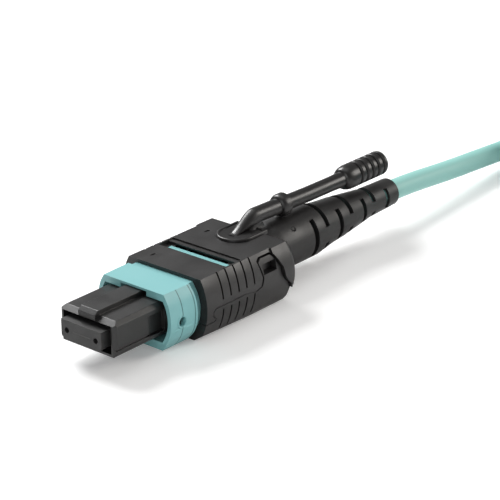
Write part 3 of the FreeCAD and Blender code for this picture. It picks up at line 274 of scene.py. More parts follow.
def witness_lines(material, places_mm):
    """The colour is dark within LINE_HALF_MM of a place along X and is itself again at 2.2 times that,
    on faces whose normal is mostly along Y. The lines join by the larger value."""
    shader = material.node_tree.nodes["Principled BSDF"]
    along = add(material, "SeparateXYZ", {"Vector": place_on_plug(material)}).outputs["X"]
    line = None
    for where in places_mm:
        off = add(material, "Math", {0: along, 1: where * MM}, operation="SUBTRACT")
        gap = add(material, "Math", {0: off.outputs["Value"]}, operation="ABSOLUTE")
        mark = add(material, "MapRange", {"Value": gap.outputs["Value"], "From Min": LINE_HALF_MM * MM,
                                          "From Max": 2.2 * LINE_HALF_MM * MM, "To Min": 1.0,
                                          "To Max": 0.0}).outputs["Result"]
        line = mark if line is None else add(
            material, "Math", {0: line, 1: mark}, operation="MAXIMUM").outputs["Value"]
    facing = add(material, "SeparateXYZ", {"Vector": add(material, "NewGeometry").outputs["Normal"]})
    sideways = add(material, "Math", {0: facing.outputs["Y"]}, operation="ABSOLUTE")
    on_side = add(material, "MapRange", {"Value": sideways.outputs["Value"], "From Min": 0.55,
                                         "From Max": 0.75})
    depth = add(material, "Math", {0: line, 1: on_side.outputs["Result"]}, operation="MULTIPLY")
    skin = shader.inputs["Base Color"].links[0].from_socket
    shade = add(material, "Mix", {"Factor": depth.outputs["Value"], "A": skin, "B": linear("#3f7173")},
                data_type="RGBA")
    link(material, shade.outputs["Result"], shader.inputs["Base Color"])


witness_lines(sleeve_aqua, WITNESS_LINES_X)
print("witness lines at", WITNESS_LINES_X, "mm from each ferrule's face")

# %% [markdown]
# ## Metals
# The springs are stainless wire and the crimp ring is aluminium tube. Both are pulled through a die,
# which leaves fine lines along the pull. They sit inside and show only when the plug is taken apart, so
# no line is modelled: a noise stretched along X bumps the surface.


# %% Drawn metal
def drawn_metal(name, colour, roughness):
    """Metal pulled through a die. A noise 0.08 mm wide, twenty times as long along X, bumps it."""
    material, shader = blank(name)
    place = add(material, "TexCoord").outputs["Object"]
    stretch = add(material, "Mapping", {"Vector": place, "Scale": (0.05, 1.0, 1.0)})
    lines = add(material, "TexNoise", {"Vector": stretch.outputs["Vector"], "Scale": 1 / (0.08 * MM)})
    bump = add(material, "Bump", {"Height": lines.outputs["Fac"], "Distance": 0.004 * MM})
    link(material, bump.outputs["Normal"], shader.inputs["Normal"])
    shader.inputs["Base Color"].default_value = linear(colour)
    shader.inputs["Metallic"].default_value = 1.0
    shader.inputs["Roughness"].default_value = roughness
    return material


# stainless steel wire, bright and a little warm
spring_steel = drawn_metal("stainless_spring_wire", "#c9c6c0", 0.28)
# aluminium tube, paler and softer
crimp_metal = drawn_metal("aluminium_drawn_tube", "#d2d3d5", 0.35)
print("metals:", spring_steel.name, crimp_metal.name)

# %% [markdown]
# ## Aramid yarn
# The cable's pull is taken by a bundle of thin yellow threads, folded back under the crimp ring.
# Thousands of threads as curves would be wasted there. The bundle is one smooth tube, and a noise drawn
# out along X gives it threads, with painted shade in the gaps between them.


# %% Stranded yarn
def stranded(name, colour, strand_mm, roughness):
    """Threads side by side along X: a noise as wide as strand_mm, some thirty times as long, sets both
    the colour, from a painted shade of under half in the gaps to full on the threads, and the height."""
    material, shader = blank(name)
    place = add(material, "TexCoord").outputs["Object"]
    stretch = add(material, "Mapping", {"Vector": place, "Scale": (0.03, 1.0, 1.0)})
    strands = add(material, "TexNoise", {"Vector": stretch.outputs["Vector"],
                                         "Scale": 1 / (strand_mm * MM)})
    shade = add(material, "ValToRGB", {"Fac": strands.outputs["Fac"]})
    gap, thread = shade.color_ramp.elements
    # the gaps are painted shade: the ramp's dark stop is 0.45 of the yarn's colour
    gap.position = 0.35
    gap.color = [c * 0.45 for c in linear(colour)[:3]] + [1.0]
    thread.position = 0.6
    thread.color = linear(colour)
    bump = add(material, "Bump", {"Height": strands.outputs["Fac"], "Distance": 0.03 * MM})
    link(material, shade.outputs["Color"], shader.inputs["Base Color"])
    link(material, bump.outputs["Normal"], shader.inputs["Normal"])
    shader.inputs["Roughness"].default_value = roughness
    return material


# para-aramid yarn, yellow and dull
yarn_yellow = stranded("aramid_yarn_bundled", "#d9bd55", 0.06, 0.7)
print("yarn:", yarn_yellow.name)

# %% [markdown]
# ## The row of fibres
# Twelve fibres lie side by side, each with a thin coat in its own standard colour. At the ferrule's
# face they are stripped, bonded and ground flush, and bare glass looks dark. The row is one flat solid,
# so a colour ramp across it paints one stripe a fibre.

# %% Coated glass fibres
ROW_HALF_MM = 1.5
STRIPPED_MM = 3.0
FIBRE_COLOURS = ("#2e63b8", "#d9772b", "#3d8a4a", "#6e4a30", "#808890", "#e8e6df",
                 "#b5312c", "#262626", "#d9bd35", "#6f4a94", "#d98f9f", "#4fb0b0")


def fibre_row():
    """The stripe's number is the place across the row, from +Y to -Y, in twelfths of its width. Within
    STRIPPED_MM of the face the colour is bare glass."""
    material, shader = blank("coated_glass_fibres")
    place = add(material, "SeparateXYZ", {"Vector": place_on_plug(material)})
    across = add(material, "MapRange", {"Value": place.outputs["Y"], "From Min": ROW_HALF_MM * MM,
                                        "From Max": -ROW_HALF_MM * MM})
    stripes = add(material, "ValToRGB", {"Fac": across.outputs["Result"]})
    ramp = stripes.color_ramp
    ramp.interpolation = "CONSTANT"
    for n, colour in enumerate(FIBRE_COLOURS):
        place_in_row = n / len(FIBRE_COLOURS)
        stop = ramp.elements[n] if n < 2 else ramp.elements.new(place_in_row)
        stop.position = place_in_row
        stop.color = linear(colour)
    coated = add(material, "Math", {0: place.outputs["X"], 1: STRIPPED_MM * MM},
                 operation="GREATER_THAN")
    shade = add(material, "Mix", {"Factor": coated.outputs["Value"], "A": linear("#3a3b38")},
                data_type="RGBA")
    link(material, stripes.outputs["Color"], shade.inputs["B"])
    link(material, shade.outputs["Result"], shader.inputs["Base Color"])
    shader.inputs["Roughness"].default_value = 0.3
    return material


fibre_glass = fibre_row()
print("fibres:", len(FIBRE_COLOURS))

# %% [markdown]
# ## The cable's jacket
# The jacket is extruded: plastic is drawn over the fibres through a die, which leaves a smooth satin
# skin with very faint lines along it. Lines in object coordinates would run straight on through every
# bend. A curve has its own UV map, which runs along it, so there the lines follow its turns.


# %% The jacket's finish
def extruded_jacket():
    """A noise stretched along the cable's UV map makes the die's lines, and one 0.18 mm wide in object
    coordinates makes the skin under them. Each bumps by 0.006 mm."""
    material, shader = blank("aqua_jacket_extruded")
    along = add(material, "TexCoord").outputs["UV"]
    stretch = add(material, "Mapping", {"Vector": along, "Scale": (0.6, 60.0, 1.0)})
    lines = add(material, "TexNoise", {"Vector": stretch.outputs["Vector"], "Scale": 1.0, "Detail": 2.0})
    place = add(material, "TexCoord").outputs["Object"]
    skin = add(material, "TexNoise", {"Vector": place, "Scale": 1 / (0.18 * MM), "Detail": 2.0})
    rough = add(material, "Bump", {"Height": skin.outputs["Fac"], "Distance": 0.006 * MM})
    bump = add(material, "Bump", {"Height": lines.outputs["Fac"], "Distance": 0.006 * MM,
                                  "Normal": rough.outputs["Normal"]})
    link(material, bump.outputs["Normal"], shader.inputs["Normal"])
    shader.inputs["Base Color"].default_value = linear("#92c6c0")
    shader.inputs["Roughness"].default_value = 0.46
    shader.inputs["Specular IOR Level"].default_value = 0.45
    return material


jacket_aqua = extruded_jacket()
print("jacket:", jacket_aqua.name)

# %% [markdown]
# ## The cable
# A lead of about a metre: 3 mm round cable leaves the boot and sinks to the table in a gentle sag. The
# rest is folded into a neat oval hank of seven turns beside the far plug. A tube built of straight and
# round pieces would look like bent wire, so one smooth spline carries it all. A hand would guide the
# cable at a few points at each end, and a loop works out the points of the turns.

# %% The ends of the route
TABLE_Z = -4.45
LEAD = [
    (30.0, 0.0, 0.0), (45.0, 0.0, 0.02), (60.5, 0.0, 0.03), (72.5, 0.0, -1.10),
    (81.5, 0.0, -1.64), (88.0, 0.0, -2.10), (94.5, 2.5, -2.70),
]
TAIL = [
    (88.5, -23.3, 0.0), (103.0, -23.3, 0.03), (118.5, -23.3, -0.03), (132.54, -23.3, 0.60),
    (141.08, -14.76, 2.0), (141.08, -2.68, 3.8), (132.54, 5.86, 4.9), (121.0, 5.86, 5.10),
]
CABLE_RADIUS = 1.4
print("the cable is", 2 * CABLE_RADIUS, "mm thick")

# %% The hank's turns
HANK_CENTRE = (113.45, -6.15)
HANK_STRAIGHT = 23.1
HANK_LOWEST_Z = -3.05
POINTS_A_TURN = 14
# the half width of the inner and the outer lane
LANES = (9.2, 12.0)
# a layer settles a little into the one below it
LAYER = 2 * CABLE_RADIUS * 0.972
# each turn's lane, counted from the inside, and its layer, counted from the table
TURNS = [(1, 0), (0, 1), (1, 1), (1, 2), (0, 2), (0, 3), (1, 3)]
# the part of a turn in which the cable changes lane and layer
CHANGE = 0.28


def hank_points():
    """Turns of a flattened oval, clockwise from above: every turn is half a circle, a straight side,
    half a circle and a straight side. Between two turns the cable changes lane and layer in the half
    circle nearest the plug, before it crosses over the lead that comes in there."""
    spread = 1 / math.cos(math.pi / POINTS_A_TURN)
    points = []
    for n, (lane, level) in enumerate(TURNS):
        next_lane, next_level = TURNS[min(n + 1, len(TURNS) - 1)]
        for step in range(POINTS_A_TURN):
            turned = (step + 0.5) / POINTS_A_TURN
            angle = math.pi / 2 - 2 * math.pi * turned
            shift = min(max((turned - 0.5) / CHANGE, 0), 1)
            shift = shift * shift * (3 - 2 * shift)
            radius = (LANES[lane] + (LANES[next_lane] - LANES[lane]) * shift) * spread
            side = 1 if turned < 0.5 else -1
            points.append((HANK_CENTRE[0] + radius * math.cos(angle) + side * HANK_STRAIGHT / 2,
                           HANK_CENTRE[1] + radius * math.sin(angle),
                           HANK_LOWEST_Z + LAYER * (level + (next_level - level) * shift)))
    return points


# %% One spline for the whole cable
def make_cable():
    """A round tube about a smooth spline of the third order, whose control points are the route."""
    curve = bpy.data.curves.new("cable", "CURVE")
    curve.dimensions = "3D"
    curve.bevel_depth = CABLE_RADIUS * MM
    curve.bevel_resolution = 8
    curve.resolution_u = 10
    curve.use_fill_caps = True
    route = LEAD + hank_points() + TAIL[::-1]
    spline = curve.splines.new("NURBS")
    spline.points.add(len(route) - 1)
    spline.points.foreach_set("co", [v for x, y, z in route for v in (x * MM, y * MM, z * MM, 1.0)])
    # the order comes after the points: set before them, it would stay at 2, which is straight runs
    spline.order_u = 3
    spline.use_endpoint_u = True
    curve.materials.append(jacket_aqua)
    print("cable:", len(route), "points")
    return shown("cable", curve)


cable = make_cable()
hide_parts("cable_lead", "cable_coil", "cable_tail")
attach(cable, "plug")

# %% [markdown]
# ## Softer forms
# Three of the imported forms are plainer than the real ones: the soft boot is a little fuller behind the
# tab, the sleeve's side walls flare towards the tab, and the tab's rear edges are round. They could be
# modelled anew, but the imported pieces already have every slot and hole. So their points are moved by
# smooth functions of their place, and the slots and holes go along. A long flat face has points only at
# its rim, so such a piece is first cut across where it has to bend.


# %% A smooth step
def step_up(x, start, stop):
    """A smooth step from 0 at start to 1 at stop."""
    t = np.clip((x - start) / (stop - start), 0, 1)
    return t * t * (3 - 2 * t)


# %% Fill the boot
BOOT_CUTS = (32.0, 32.4, 32.8, 33.2, 34.5, 36.0, 37.5, 40.5, 41.5, 42.5, 43.5, 44.5)
BOOT_FULLER = 0.07
FULLER_FROM, FULLER_TO = (31.9, 33.2), (40.0, 44.5)
BOOT_THIN_FROM, BOOT_END = 50, 58.75
BOOT_SHRINKS = 0.45


def fill_boot(at):
    """Points move out from the boot's axis by up to 7%, by a smooth step up and a smooth step down along
    X. The thin end shrinks forwards a little, in proportion to the distance behind X 50."""
    along = at[:, 0].copy()
    grow = 1 + BOOT_FULLER * step_up(along, *FULLER_FROM) * (1 - step_up(along, *FULLER_TO))
    at[:, 1] *= grow
    at[:, 2] *= grow
    at[:, 0] -= BOOT_SHRINKS * np.clip((along - BOOT_THIN_FROM) / (BOOT_END - BOOT_THIN_FROM), 0, 1)


# %% Flare the sleeve
FLARE_FRONT, FLARE_MORE = 0.20, 0.34
FLARE_ALONG, FLARE_ACROSS = (10.5, 13.5), (4.2, 5.5)
SLEEVE_HIDDEN = (14.2, 15.0)


def fill_sleeve(at):
    """Points more than 4.2 mm from the middle move out: by 0.20 mm at the front and 0.54 mm by X 13.5,
    all by smooth steps across and along. Inside the tab the sleeve keeps its size."""
    along, off = at[:, 0], at[:, 1]
    flare = FLARE_FRONT + FLARE_MORE * step_up(along, *FLARE_ALONG)
    out = flare * step_up(np.abs(off), *FLARE_ACROSS)
    at[:, 1] += np.sign(off) * out * (1 - step_up(along, *SLEEVE_HIDDEN))


# %% Round the tab's rear edges
TAB_CUTS = (29.45, 29.6, 29.75, 29.9, 30.05, 30.14)
CHAMFER_FROM, CHAMFER, CHAMFER_SQUARED = 29.4, 0.8, 0.64
TAB_HALF_WIDE, TAB_HALF_HIGH = 7.0, 4.2
TAB_TOP_Z = 3.95
TAB_BORE = 3.7


def round_tab(at):
    """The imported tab's rear edges are one flat chamfer of 0.8 mm. Its points, but not the bore's, move
    out from the chord to a quarter of a circle, in proportion to the half width and height."""
    chord = np.clip(at[:, 0] - CHAMFER_FROM, 0, CHAMFER)
    # an open fault: as a float, 0.8 squared is a hair over 0.64, so where the chord is the full 0.8 the
    # root has no value. It meets 44 points at the near tab's rear rim, and none on the far plug
    circle = CHAMFER - np.sqrt(CHAMFER_SQUARED - chord ** 2)
    outside = np.hypot(at[:, 1], at[:, 2]) > TAB_BORE
    push = np.where(outside, chord - circle, 0)
    at[:, 1] *= 1 + push / TAB_HALF_WIDE
    at[:, 2] *= 1 + push / TAB_HALF_HIGH
    at[:, 2] = np.clip(at[:, 2], TABLE_Z, TAB_TOP_Z)


# %% [markdown]
# ## Rounded edges on the moulded pieces
# No moulded edge is sharp: the tool leaves a radius of a few hundredths to a tenth of a millimetre, and
# that radius catches the light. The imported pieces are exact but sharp, and their triangles are loose. A
# subdivision surface would melt their flat faces. So a copy of each is welded, its flat faces are
# joined, and a bevel rounds only the edges that turn by more than 28 degrees.

# %% Cut, crease and move a mesh
WELD = 0.0005 * MM
EDGE_TURNS_DEG = 28
NEAR_PLUG = (0.0, 0.0, 0.0)
FAR_PLUG = (FAR_X, FAR_Y, 0.0)


def cut_across(work, places_mm, shift):
    """Cuts a piece straight across at places along X, which are given on the near plug."""
    for place in places_mm:
        everything = work.verts[:] + work.edges[:] + work.faces[:]
        bmesh.ops.bisect_plane(work, geom=everything, plane_co=((place + shift[0]) * MM, 0, 0),
                               plane_no=(1, 0, 0), dist=WELD)


def crease(work, turns_deg):
    """Shades every face smooth, and keeps an edge sharp where its faces turn by at least this angle."""
    for edge in work.edges:
        if edge.is_manifold:
            edge.smooth = edge.calc_face_angle() < math.radians(turns_deg)
    for face in work.faces:
        face.smooth = True


def moved(mesh, reshape, shift):
    """Reads all points as one array in millimetres on the near plug, reshapes it and puts it back."""
    flat = np.empty(3 * len(mesh.vertices), dtype=np.float32)
    mesh.vertices.foreach_get("co", flat)
    at = flat.astype(float).reshape(-1, 3) / MM - shift
    reshape(at)
    mesh.vertices.foreach_set("co", ((at + shift) * MM).astype(np.float32).ravel())
    mesh.update()


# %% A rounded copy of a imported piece
def dressed(node, radius_mm, material, cuts, reshape):
    """A welded copy with its flat faces joined, reshaped where a function is given, and with a bevel of
    the given radius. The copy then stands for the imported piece."""
    shift = FAR_PLUG if node.startswith("far_") else NEAR_PLUG
    mesh = bpy.data.objects[node].data.copy()
    mesh.name = node + "_dressed"
    work = bmesh.new()
    work.from_mesh(mesh)
    bmesh.ops.remove_doubles(work, verts=work.verts, dist=WELD)
    bmesh.ops.dissolve_limit(work, angle_limit=math.radians(0.5), verts=work.verts, edges=work.edges,
                             delimit={"NORMAL"})
    cut_across(work, cuts, shift)
    crease(work, EDGE_TURNS_DEG)
    work.to_mesh(mesh)
    work.free()
    if reshape:
        moved(mesh, reshape, shift)
    mesh.materials.clear()
    mesh.materials.append(material)
    piece = shown(node + "_dressed", mesh)
    bevel = piece.modifiers.new("edge_radius", "BEVEL")
    bevel.width = radius_mm * MM
    bevel.segments = 2
    bevel.limit_method = "ANGLE"
    bevel.angle_limit = math.radians(EDGE_TURNS_DEG)
    bevel.use_clamp_overlap = True
    bevel.harden_normals = True
    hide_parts(node)
    return piece


# %% Round the pieces of both plugs
BODY_OF = {node: body for body, nodes in frame["record"]["behaviour"]["bodies"].items()
           for node in nodes}
# each piece's edge radius in millimetres, its finish, where it is cut across and how it is reshaped
ROUNDED = {
    "mt_ferrule": (0.04, ferrule_black, (), None),
    "inner_housing": (0.08, housing_black, (), None),
    "coupling_sleeve": (0.09, sleeve_aqua, (), fill_sleeve),
    "tab_upper_shell": (0.12, tab_black, TAB_CUTS, round_tab),
    "tab_lower_shell": (0.12, tab_black, TAB_CUTS, round_tab),
    "boot": (0.10, boot_black, BOOT_CUTS, fill_boot),
}
for prefix in ("", "far_"):
    for name, how in ROUNDED.items():
        piece = dressed(prefix + name, *how)
        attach(piece, BODY_OF[prefix + name])
print("rounded", 2 * len(ROUNDED), "pieces")

# %% [markdown]
# ## Surfaces worked out on a grid
# The pull rod is one moulding: a flat tongue welded to the roof of the tab, a short root, and a round
# rod with a stop, a bend and a knob ringed for grip. Joined tubes and blocks would show seams. Such a
# form is a stack of closed rings of points, so a small function skins a stack, and each part of the rod
# only says where its rings lie.


# %% Skin a stack of rings
def skinned(name, stacks, material, capped=True, turns_deg=40):
    """One mesh from several stacks. A stack is an array of rings x points x 3 in millimetres; each ring
    joins the next with quads, and the last point of a ring joins its first. Capped ends get one flat
    face each."""
    verts = []
    faces = []
    for rings in stacks:
        count, size = rings.shape[:2]
        base = sum(len(v) for v in verts)
        verts.append(rings.reshape(-1, 3) * MM)
        row, column = np.meshgrid(np.arange(count - 1), np.arange(size), indexing="ij")
        here = base + row * size + column
        beside = base + row * size + (column + 1) % size
        quads = np.stack([here, beside, beside + size, here + size], axis=-1)
        faces += quads.reshape(-1, 4).tolist()
        if capped:
            faces.append(list(range(base + size - 1, base - 1, -1)))
            faces.append(list(range(base + (count - 1) * size, base + count * size)))
    mesh = bpy.data.meshes.new(name)
    mesh.from_pydata(np.concatenate(verts).tolist(), [], faces)
    work = bmesh.new()
    work.from_mesh(mesh)
    if capped:
        bmesh.ops.recalc_face_normals(work, faces=work.faces)
    crease(work, turns_deg)
    work.to_mesh(mesh)
    work.free()
    mesh.materials.append(material)
    return shown(name, mesh)


# %% [markdown]
# ## The round rod
# The rod's cavity is turned, so every ring is a circle, and its radius is one function of the place
# along X. Each feature adds its own term. A swelling is a quarter of an ellipse, which leaves the rod
# steeply and ends level, as a turned shoulder does.

# %% Round part of the rod
ROD = 1.03
WAIST_THINNER, WAIST_FROM, WAIST_TO = 0.04, (36.4, 38.0), 45.8
STOP_FROM, STOP_TO, STOP_PROUD, STOP_BEAD = 34.9, 36.35, 0.48, 0.9
KNOB_FROM, KNOB_SWOLLEN, KNOB_TO = 47.9, 49.6, 56.25
KNOB_RADIUS, KNOB_PROUD, KNOB_SWELL = 1.65, 0.62, 1.6
RINGS_FROM, FIRST_VALLEY, PITCH = 50.0, 50.6, 1.2
VALLEY_RADIUS, VALLEY_DEPTH, VALLEY_FLAT, RING_ROUND = 1.24, 0.44, 0.10, 0.34
RIM, RIM_DROP = 0.3, 0.24


def rod_profile(x):
    """The radius at each place: the rod's, plus the stop's half bead, plus a knob that swells as a
    quarter of an ellipse and then carries rings, where the radius grows as an ellipse with the distance
    from the nearest valley."""
    radius = np.full_like(x, ROD)
    radius -= WAIST_THINNER * step_up(x, *WAIST_FROM) * (1 - step_up(x, WAIST_TO, KNOB_FROM))
    bead = np.clip((x - STOP_FROM) / STOP_BEAD, 0, 1)
    in_stop = (x >= STOP_FROM) & (x <= STOP_TO)
    radius = np.where(in_stop, ROD + STOP_PROUD * np.sqrt(1 - (1 - bead) ** 2), radius)
    swell = np.clip((x - KNOB_FROM) / KNOB_SWELL, 0, 1)
    knob = ROD + KNOB_PROUD * np.sqrt(1 - (1 - swell) ** 2)
    radius = np.where(x >= KNOB_FROM, knob, radius)
    valley = np.abs((x - FIRST_VALLEY + PITCH / 2) % PITCH - PITCH / 2)
    rise = np.clip((valley - VALLEY_FLAT) / RING_ROUND, 0, 1)
    ringed = VALLEY_RADIUS + VALLEY_DEPTH * np.sqrt(1 - (1 - rise) ** 2)
    radius = np.where(x >= RINGS_FROM, np.minimum(ringed, KNOB_RADIUS), radius)
    rim = np.clip((x - (KNOB_TO - RIM)) / RIM, 0, 1)
    return radius - RIM_DROP * (1 - np.sqrt(1 - rim ** 2))


# %% Rings of the rod and its root
ROOT_FROM, ROOT_TO = 26.2, 30.6
FOOT_FROM, FOOT_TO = 29.8, 31.4
TONGUE_TOP_Z, TONGUE_FOOT_Z = 4.0, 3.8
AXIS_X, AXIS_Z, AXIS_SINKS, AXIS_SINKS_BEHIND = 30.5, 5.20, 0.032, 0.010
BEND_X, LEVEL_X = 41, 48


def rod_rings():
    """Rings along X. The axis sinks evenly to X 41 and is almost level behind it. In the root the rings
    are ellipses whose tops follow a smooth ramp down to the tongue."""
    x = np.unique(np.concatenate([
        np.linspace(ROOT_FROM, FOOT_TO, 22), np.linspace(FOOT_TO, STOP_FROM, 5),
        np.linspace(STOP_FROM, STOP_TO, 13), np.linspace(STOP_TO + 0.001, KNOB_FROM, 18),
        np.linspace(KNOB_FROM, KNOB_SWOLLEN, 16), np.linspace(KNOB_SWOLLEN, KNOB_TO, 99)]))
    height = AXIS_Z - AXIS_SINKS * (np.clip(x, None, BEND_X) - AXIS_X)
    height = height - AXIS_SINKS_BEHIND * (np.clip(x, BEND_X, LEVEL_X) - BEND_X)
    radius = rod_profile(x)
    grow = step_up(x, ROOT_FROM, ROOT_TO)
    top = TONGUE_TOP_Z + (height + radius - TONGUE_TOP_Z) * grow
    foot = TONGUE_FOOT_Z + (height - radius - TONGUE_FOOT_Z) * step_up(x, FOOT_FROM, FOOT_TO)
    wide = radius * (0.5 + 0.5 * grow)
    angle = np.linspace(0, 2 * math.pi, 40, endpoint=False)
    across = wide[:, None] * np.cos(angle)
    up = ((top + foot) / 2)[:, None] + ((top - foot) / 2)[:, None] * np.sin(angle)
    return np.stack([np.broadcast_to(x[:, None], across.shape), across, up], axis=-1)


# %% [markdown]
# ## The tongue and the root
# The tongue is a flat plate with a round nose and a raised rim, and the root is the block that joins it
# to the rod. Both rise in few steps, so each is a short stack of outlines at growing heights.

# %% Tongue of the rod
TONGUE_HALF = 2.45
TONGUE_REAR, TONGUE_STEP, NOSE_CENTRE = 30.25, 28.7, 27.15
# how far each outline is drawn in, and its height
TONGUE_RIM = ((0, 3.55), (0, 3.93), (0.03, 4.0), (0.10, 4.05), (0.32, 4.05), (0.39, 4.02),
              (0.42, 3.96), (0.46, 3.92))


def tongue_rings():
    """Rings round the tongue's outline, each drawn in from the last and at its own height: up the side,
    over a rounded rim, and down to the sunk field inside it."""
    rings = []
    nose = np.linspace(0.5 * math.pi, 1.5 * math.pi, 33)
    for inset, z in TONGUE_RIM:
        half = TONGUE_HALF - inset
        rear = TONGUE_REAR - inset
        x = np.concatenate([[rear, TONGUE_STEP], NOSE_CENTRE + half * np.cos(nose), [TONGUE_STEP, rear]])
        y = np.concatenate([[half, half], half * np.sin(nose), [-half, -half]])
        rings.append(np.stack([x, y, np.full_like(x, z)], axis=-1))
    return np.array(rings)


# %% Root of the rod
# each oblong's height, front, rear and half width
ROOT_STEPS = ((3.85, 28.75, 31.75, 1.05), (4.05, 28.95, 31.65, 0.97), (4.3, 29.15, 31.55, 0.9),
              (4.8, 29.35, 31.45, 0.86), (5.3, 29.45, 31.4, 0.84))
ROUNDNESS = 0.45


def root_rings():
    """Rounded oblongs that draw in as they rise to the rod. The cosine and the sine are raised to a
    power below one, which presses a circle outwards into its square."""
    angle = np.linspace(0, 2 * math.pi, 32, endpoint=False)
    round_x = np.sign(np.cos(angle)) * np.abs(np.cos(angle)) ** ROUNDNESS
    round_y = np.sign(np.sin(angle)) * np.abs(np.sin(angle)) ** ROUNDNESS
    rings = []
    for z, front, rear, half in ROOT_STEPS:
        rings.append(np.stack([(front + rear) / 2 + (rear - front) / 2 * round_x, half * round_y,
                               np.full_like(angle, z)], axis=-1))
    return np.array(rings)


# %% [markdown]
# ## Rings round the sleeve's holes
# Round each of the sleeve's side holes the tool leaves a raised ring, where a core pin met the cavity.
# It stands only 0.05 mm proud, but its edge catches the light. A bump couldn't give it a rim that the
# hole cuts, so it is a small surface of its own.

# %% A raised ring
SIDE_HOLE_Z = -0.42
# the distance from the hole's axis and from the sleeve's middle, from the hole outwards
RING_SECTION = np.array([(0.60, 5.50), (0.60, 5.88), (0.63, 5.92), (0.80, 5.92), (0.88, 5.86),
                         (0.92, 5.50)])


def hole_ring(side):
    """The section's corners turned about Y, one way round on one side and the other way on the other,
    so that the two rings match. The edges are open and sunk in the sleeve. An open fault: wound like
    this, the faces of both rings point inwards."""
    angle = -side * np.linspace(0, 2 * math.pi, 36, endpoint=False)
    x = SIDE_HOLE_X + RING_SECTION[:, :1] * np.cos(angle)
    z = SIDE_HOLE_Z + RING_SECTION[:, :1] * np.sin(angle)
    y = np.broadcast_to(RING_SECTION[:, 1:] * side, x.shape)
    return np.stack([x, y, z], axis=-1)


# %% Rods and rings on both plugs
TO_FAR_PLUG = Matrix.Translation(Vector(FAR_PLUG) * MM)
for prefix in ("", "far_"):
    rod = skinned(prefix + "pull_rod_dressed", [tongue_rings(), root_rings(), rod_rings()], rod_black)
    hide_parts(prefix + "pull_rod")
    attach(rod, BODY_OF[prefix + "pull_rod"])
    ring = skinned(prefix + "sleeve_hole_rings_dressed", [hole_ring(1), hole_ring(-1)], sleeve_aqua,
                   capped=False, turns_deg=180)
    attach(ring, BODY_OF[prefix + "coupling_sleeve"])
    if prefix:
        rod.data.transform(TO_FAR_PLUG)
        ring.data.transform(TO_FAR_PLUG)
    print(rod.name, len(rod.data.polygons), "faces;", ring.name, len(ring.data.polygons), "faces")

# %% [markdown]
# ## The tie
# A strip of hook-and-loop tape goes once round the hank's side and over its own end. It is too stiff to
# sag here, so no cloth is simulated: the strip's section is carried round a rounded oblong. The loop
# face is woven, so its finish is a coarse, deep noise with hardly any gloss.

# %% Tie the hank
TIE_Y, TIE_Z = -16.75, 1.1
TIE_HALF_WIDE, TIE_HALF_HIGH, TIE_CORNER = 2.95, 5.62, 0.55
TIE_TURNS = 1.12
TIE_OVERLAP, OVERLAP_AT = 0.32, (5.6, 6.4)
# an oval this much larger than the tie, pressed flat to the tie's size, has short round corners
TIE_OVAL = 1.6
# across the strip: the place along X, and how far it stands off the strands
TIE_SECTION = ((-4, 0), (-4, 0.25), (-3.9, 0.3), (3.9, 0.3), (4, 0.25), (4, 0))


def tie_rings():
    """Rings are the strip's own section, carried round an oval pressed flat at its sides, with its
    corners cut. The end lifts by a smooth step over the start, and nothing goes below the table."""
    turn = np.linspace(0, 2 * math.pi * TIE_TURNS, 72)
    overlap = TIE_OVERLAP * step_up(turn, *OVERLAP_AT)
    y = np.clip(TIE_HALF_WIDE * TIE_OVAL * np.cos(turn), -TIE_HALF_WIDE, TIE_HALF_WIDE)
    z = np.clip(TIE_HALF_HIGH * TIE_OVAL * np.sin(turn), -TIE_HALF_HIGH, TIE_HALF_HIGH)
    spread = np.abs(y) / TIE_HALF_WIDE + np.abs(z) / TIE_HALF_HIGH
    in_corner = np.clip((spread - TIE_OVAL) / (2 - TIE_OVAL), 0, 1)
    cut = TIE_CORNER * in_corner
    y = np.sign(y) * (np.abs(y) - cut) * (1 + overlap / TIE_HALF_WIDE)
    z = np.sign(z) * (np.abs(z) - cut) * (1 + overlap / TIE_HALF_HIGH)
    rings = []
    for x, lift in TIE_SECTION:
        rings.append(np.stack([np.full_like(turn, HANK_CENTRE[0] + x),
                               TIE_Y + y * (1 + lift / TIE_HALF_WIDE),
                               np.maximum(TIE_Z + z * (1 + lift / TIE_HALF_HIGH), TABLE_Z)], axis=-1))
    return np.array(rings).transpose(1, 0, 2)


tie_black = moulded("black_hook_and_loop_tape", "#242424", 0.85, 0.12, 0.05, specular=0.2)
tie = skinned("cable_tie", [tie_rings()], tie_black)
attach(tie, "plug")
print("tie:", len(tie.data.polygons), "faces")

# %% [markdown]
# ## Inner pieces
# The springs, the keeper, the rear body and what else is sealed inside are seen only when the plug is
# taken apart. Copies with rounded edges would add faces that nobody sees, so they keep their imported
# form and only take their finish.

# %% Finish the inner pieces
INNER = {
    "ferrule_insert": insert_rubber, "pin_keeper": housing_black, "ferrule_spring": spring_steel,
    "rear_body": housing_black, "sleeve_spring_left": spring_steel, "sleeve_spring_right": spring_steel,
    "crimp_ring": crimp_metal, "aramid_yarn": yarn_yellow, "fibre_ribbon": fibre_glass,
}
for prefix in ("", "far_"):
    for name, finish in INNER.items():
        for place in bpy.data.objects[prefix + name].material_slots:
            place.material = finish
print("finished", 2 * len(INNER), "inner pieces")

# %% [markdown]
# The far plug and the tie lie wherever the cable takes them. The far plug's rounded pieces and the tie
# are gathered in one list.

far_pieces = [o for o in bpy.data.objects if o.name.startswith("far_") and o.name.endswith("_dressed")]
far_pieces.append(tie)

# %% [markdown]
# ## The table
# The plug lies on a white sheet. A sheet lit until it is white would need lamps that bleach the plug as
# well. So the sheet glows a little, but only to the camera: it looks white, it lights nothing, and it
# keeps the plug's soft shadow.

# %% A white sheet
SHEET_HALF_M = 3.0
SHEET_GLOW = 0.20


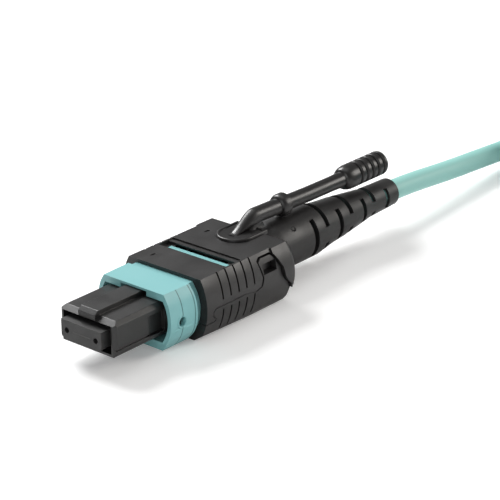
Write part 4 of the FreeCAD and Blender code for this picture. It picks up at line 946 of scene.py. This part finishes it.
def white_sheet():
    """Matte white paper whose emission is SHEET_GLOW on camera rays and nothing on any other ray."""
    material, shader = blank("white_sweep")
    shader.inputs["Base Color"].default_value = linear("#f4f4f4")
    shader.inputs["Roughness"].default_value = 0.9
    seen = add(material, "LightPath").outputs["Is Camera Ray"]
    glow = add(material, "MapRange", {"Value": seen, "To Min": 0.0, "To Max": SHEET_GLOW})
    link(material, glow.outputs["Result"], shader.inputs["Emission Strength"])
    shader.inputs["Emission Color"].default_value = (1, 1, 1, 1)
    return material


floor_z = cad_box[0][2]
floor_mesh = bpy.data.meshes.new("floor")
corners = [(x * SHEET_HALF_M, y * SHEET_HALF_M, floor_z)
           for x, y in ((-1, -1), (1, -1), (1, 1), (-1, 1))]
floor_mesh.from_pydata(corners, [], [(0, 1, 2, 3)])
floor_mesh.materials.append(white_sheet())
floor = shown("floor", floor_mesh)
print("the floor is at", round(floor_z / MM, 2), "mm")

# %% [markdown]
# ## Light
# Black plastic shows its form by what it mirrors, so the lamps are big and soft, as in a light tent. The
# key stands behind the far side and draws the highlights along the edges. A panel behind the near side
# lifts the boot and the sleeve, and two weak lamps open the shadows. A faint white world fills the rest.

# %% A soft lamp
PLUG_MIDDLE = Vector((0.03, 0, 0))


def soft_lamp(name, place, size, power, tint=(1.0, 1.0, 1.0)):
    """A square lamp that looks at the plug."""
    lamp = bpy.data.lights.new(name, "AREA")
    lamp.size = size
    lamp.energy = power
    lamp.color = tint
    item = shown(name, lamp)
    item.location = place
    item.rotation_euler = (PLUG_MIDDLE - Vector(place)).to_track_quat("-Z", "Y").to_euler()


# %% Four lamps
SLIGHTLY_WARM = (1.0, 0.965, 0.92)
soft_lamp("key_left", (0.10, 0.40, 0.37), 0.26, 3.7)
soft_lamp("top", (0.12, 0.05, 0.60), 0.4, 0.6)
soft_lamp("side_panel", (0.43, -0.34, 0.24), 0.26, 1.6, SLIGHTLY_WARM)
soft_lamp("front_fill", (-0.42, -0.16, 0.20), 0.3, 0.6)

# %% The tent's own glow
world = bpy.data.worlds.new("tent")
world.use_nodes = True
tent = world.node_tree.nodes["Background"]
tent.inputs["Color"].default_value = (1, 1, 1, 1)
tent.inputs["Strength"].default_value = 0.22
bpy.context.scene.world = world
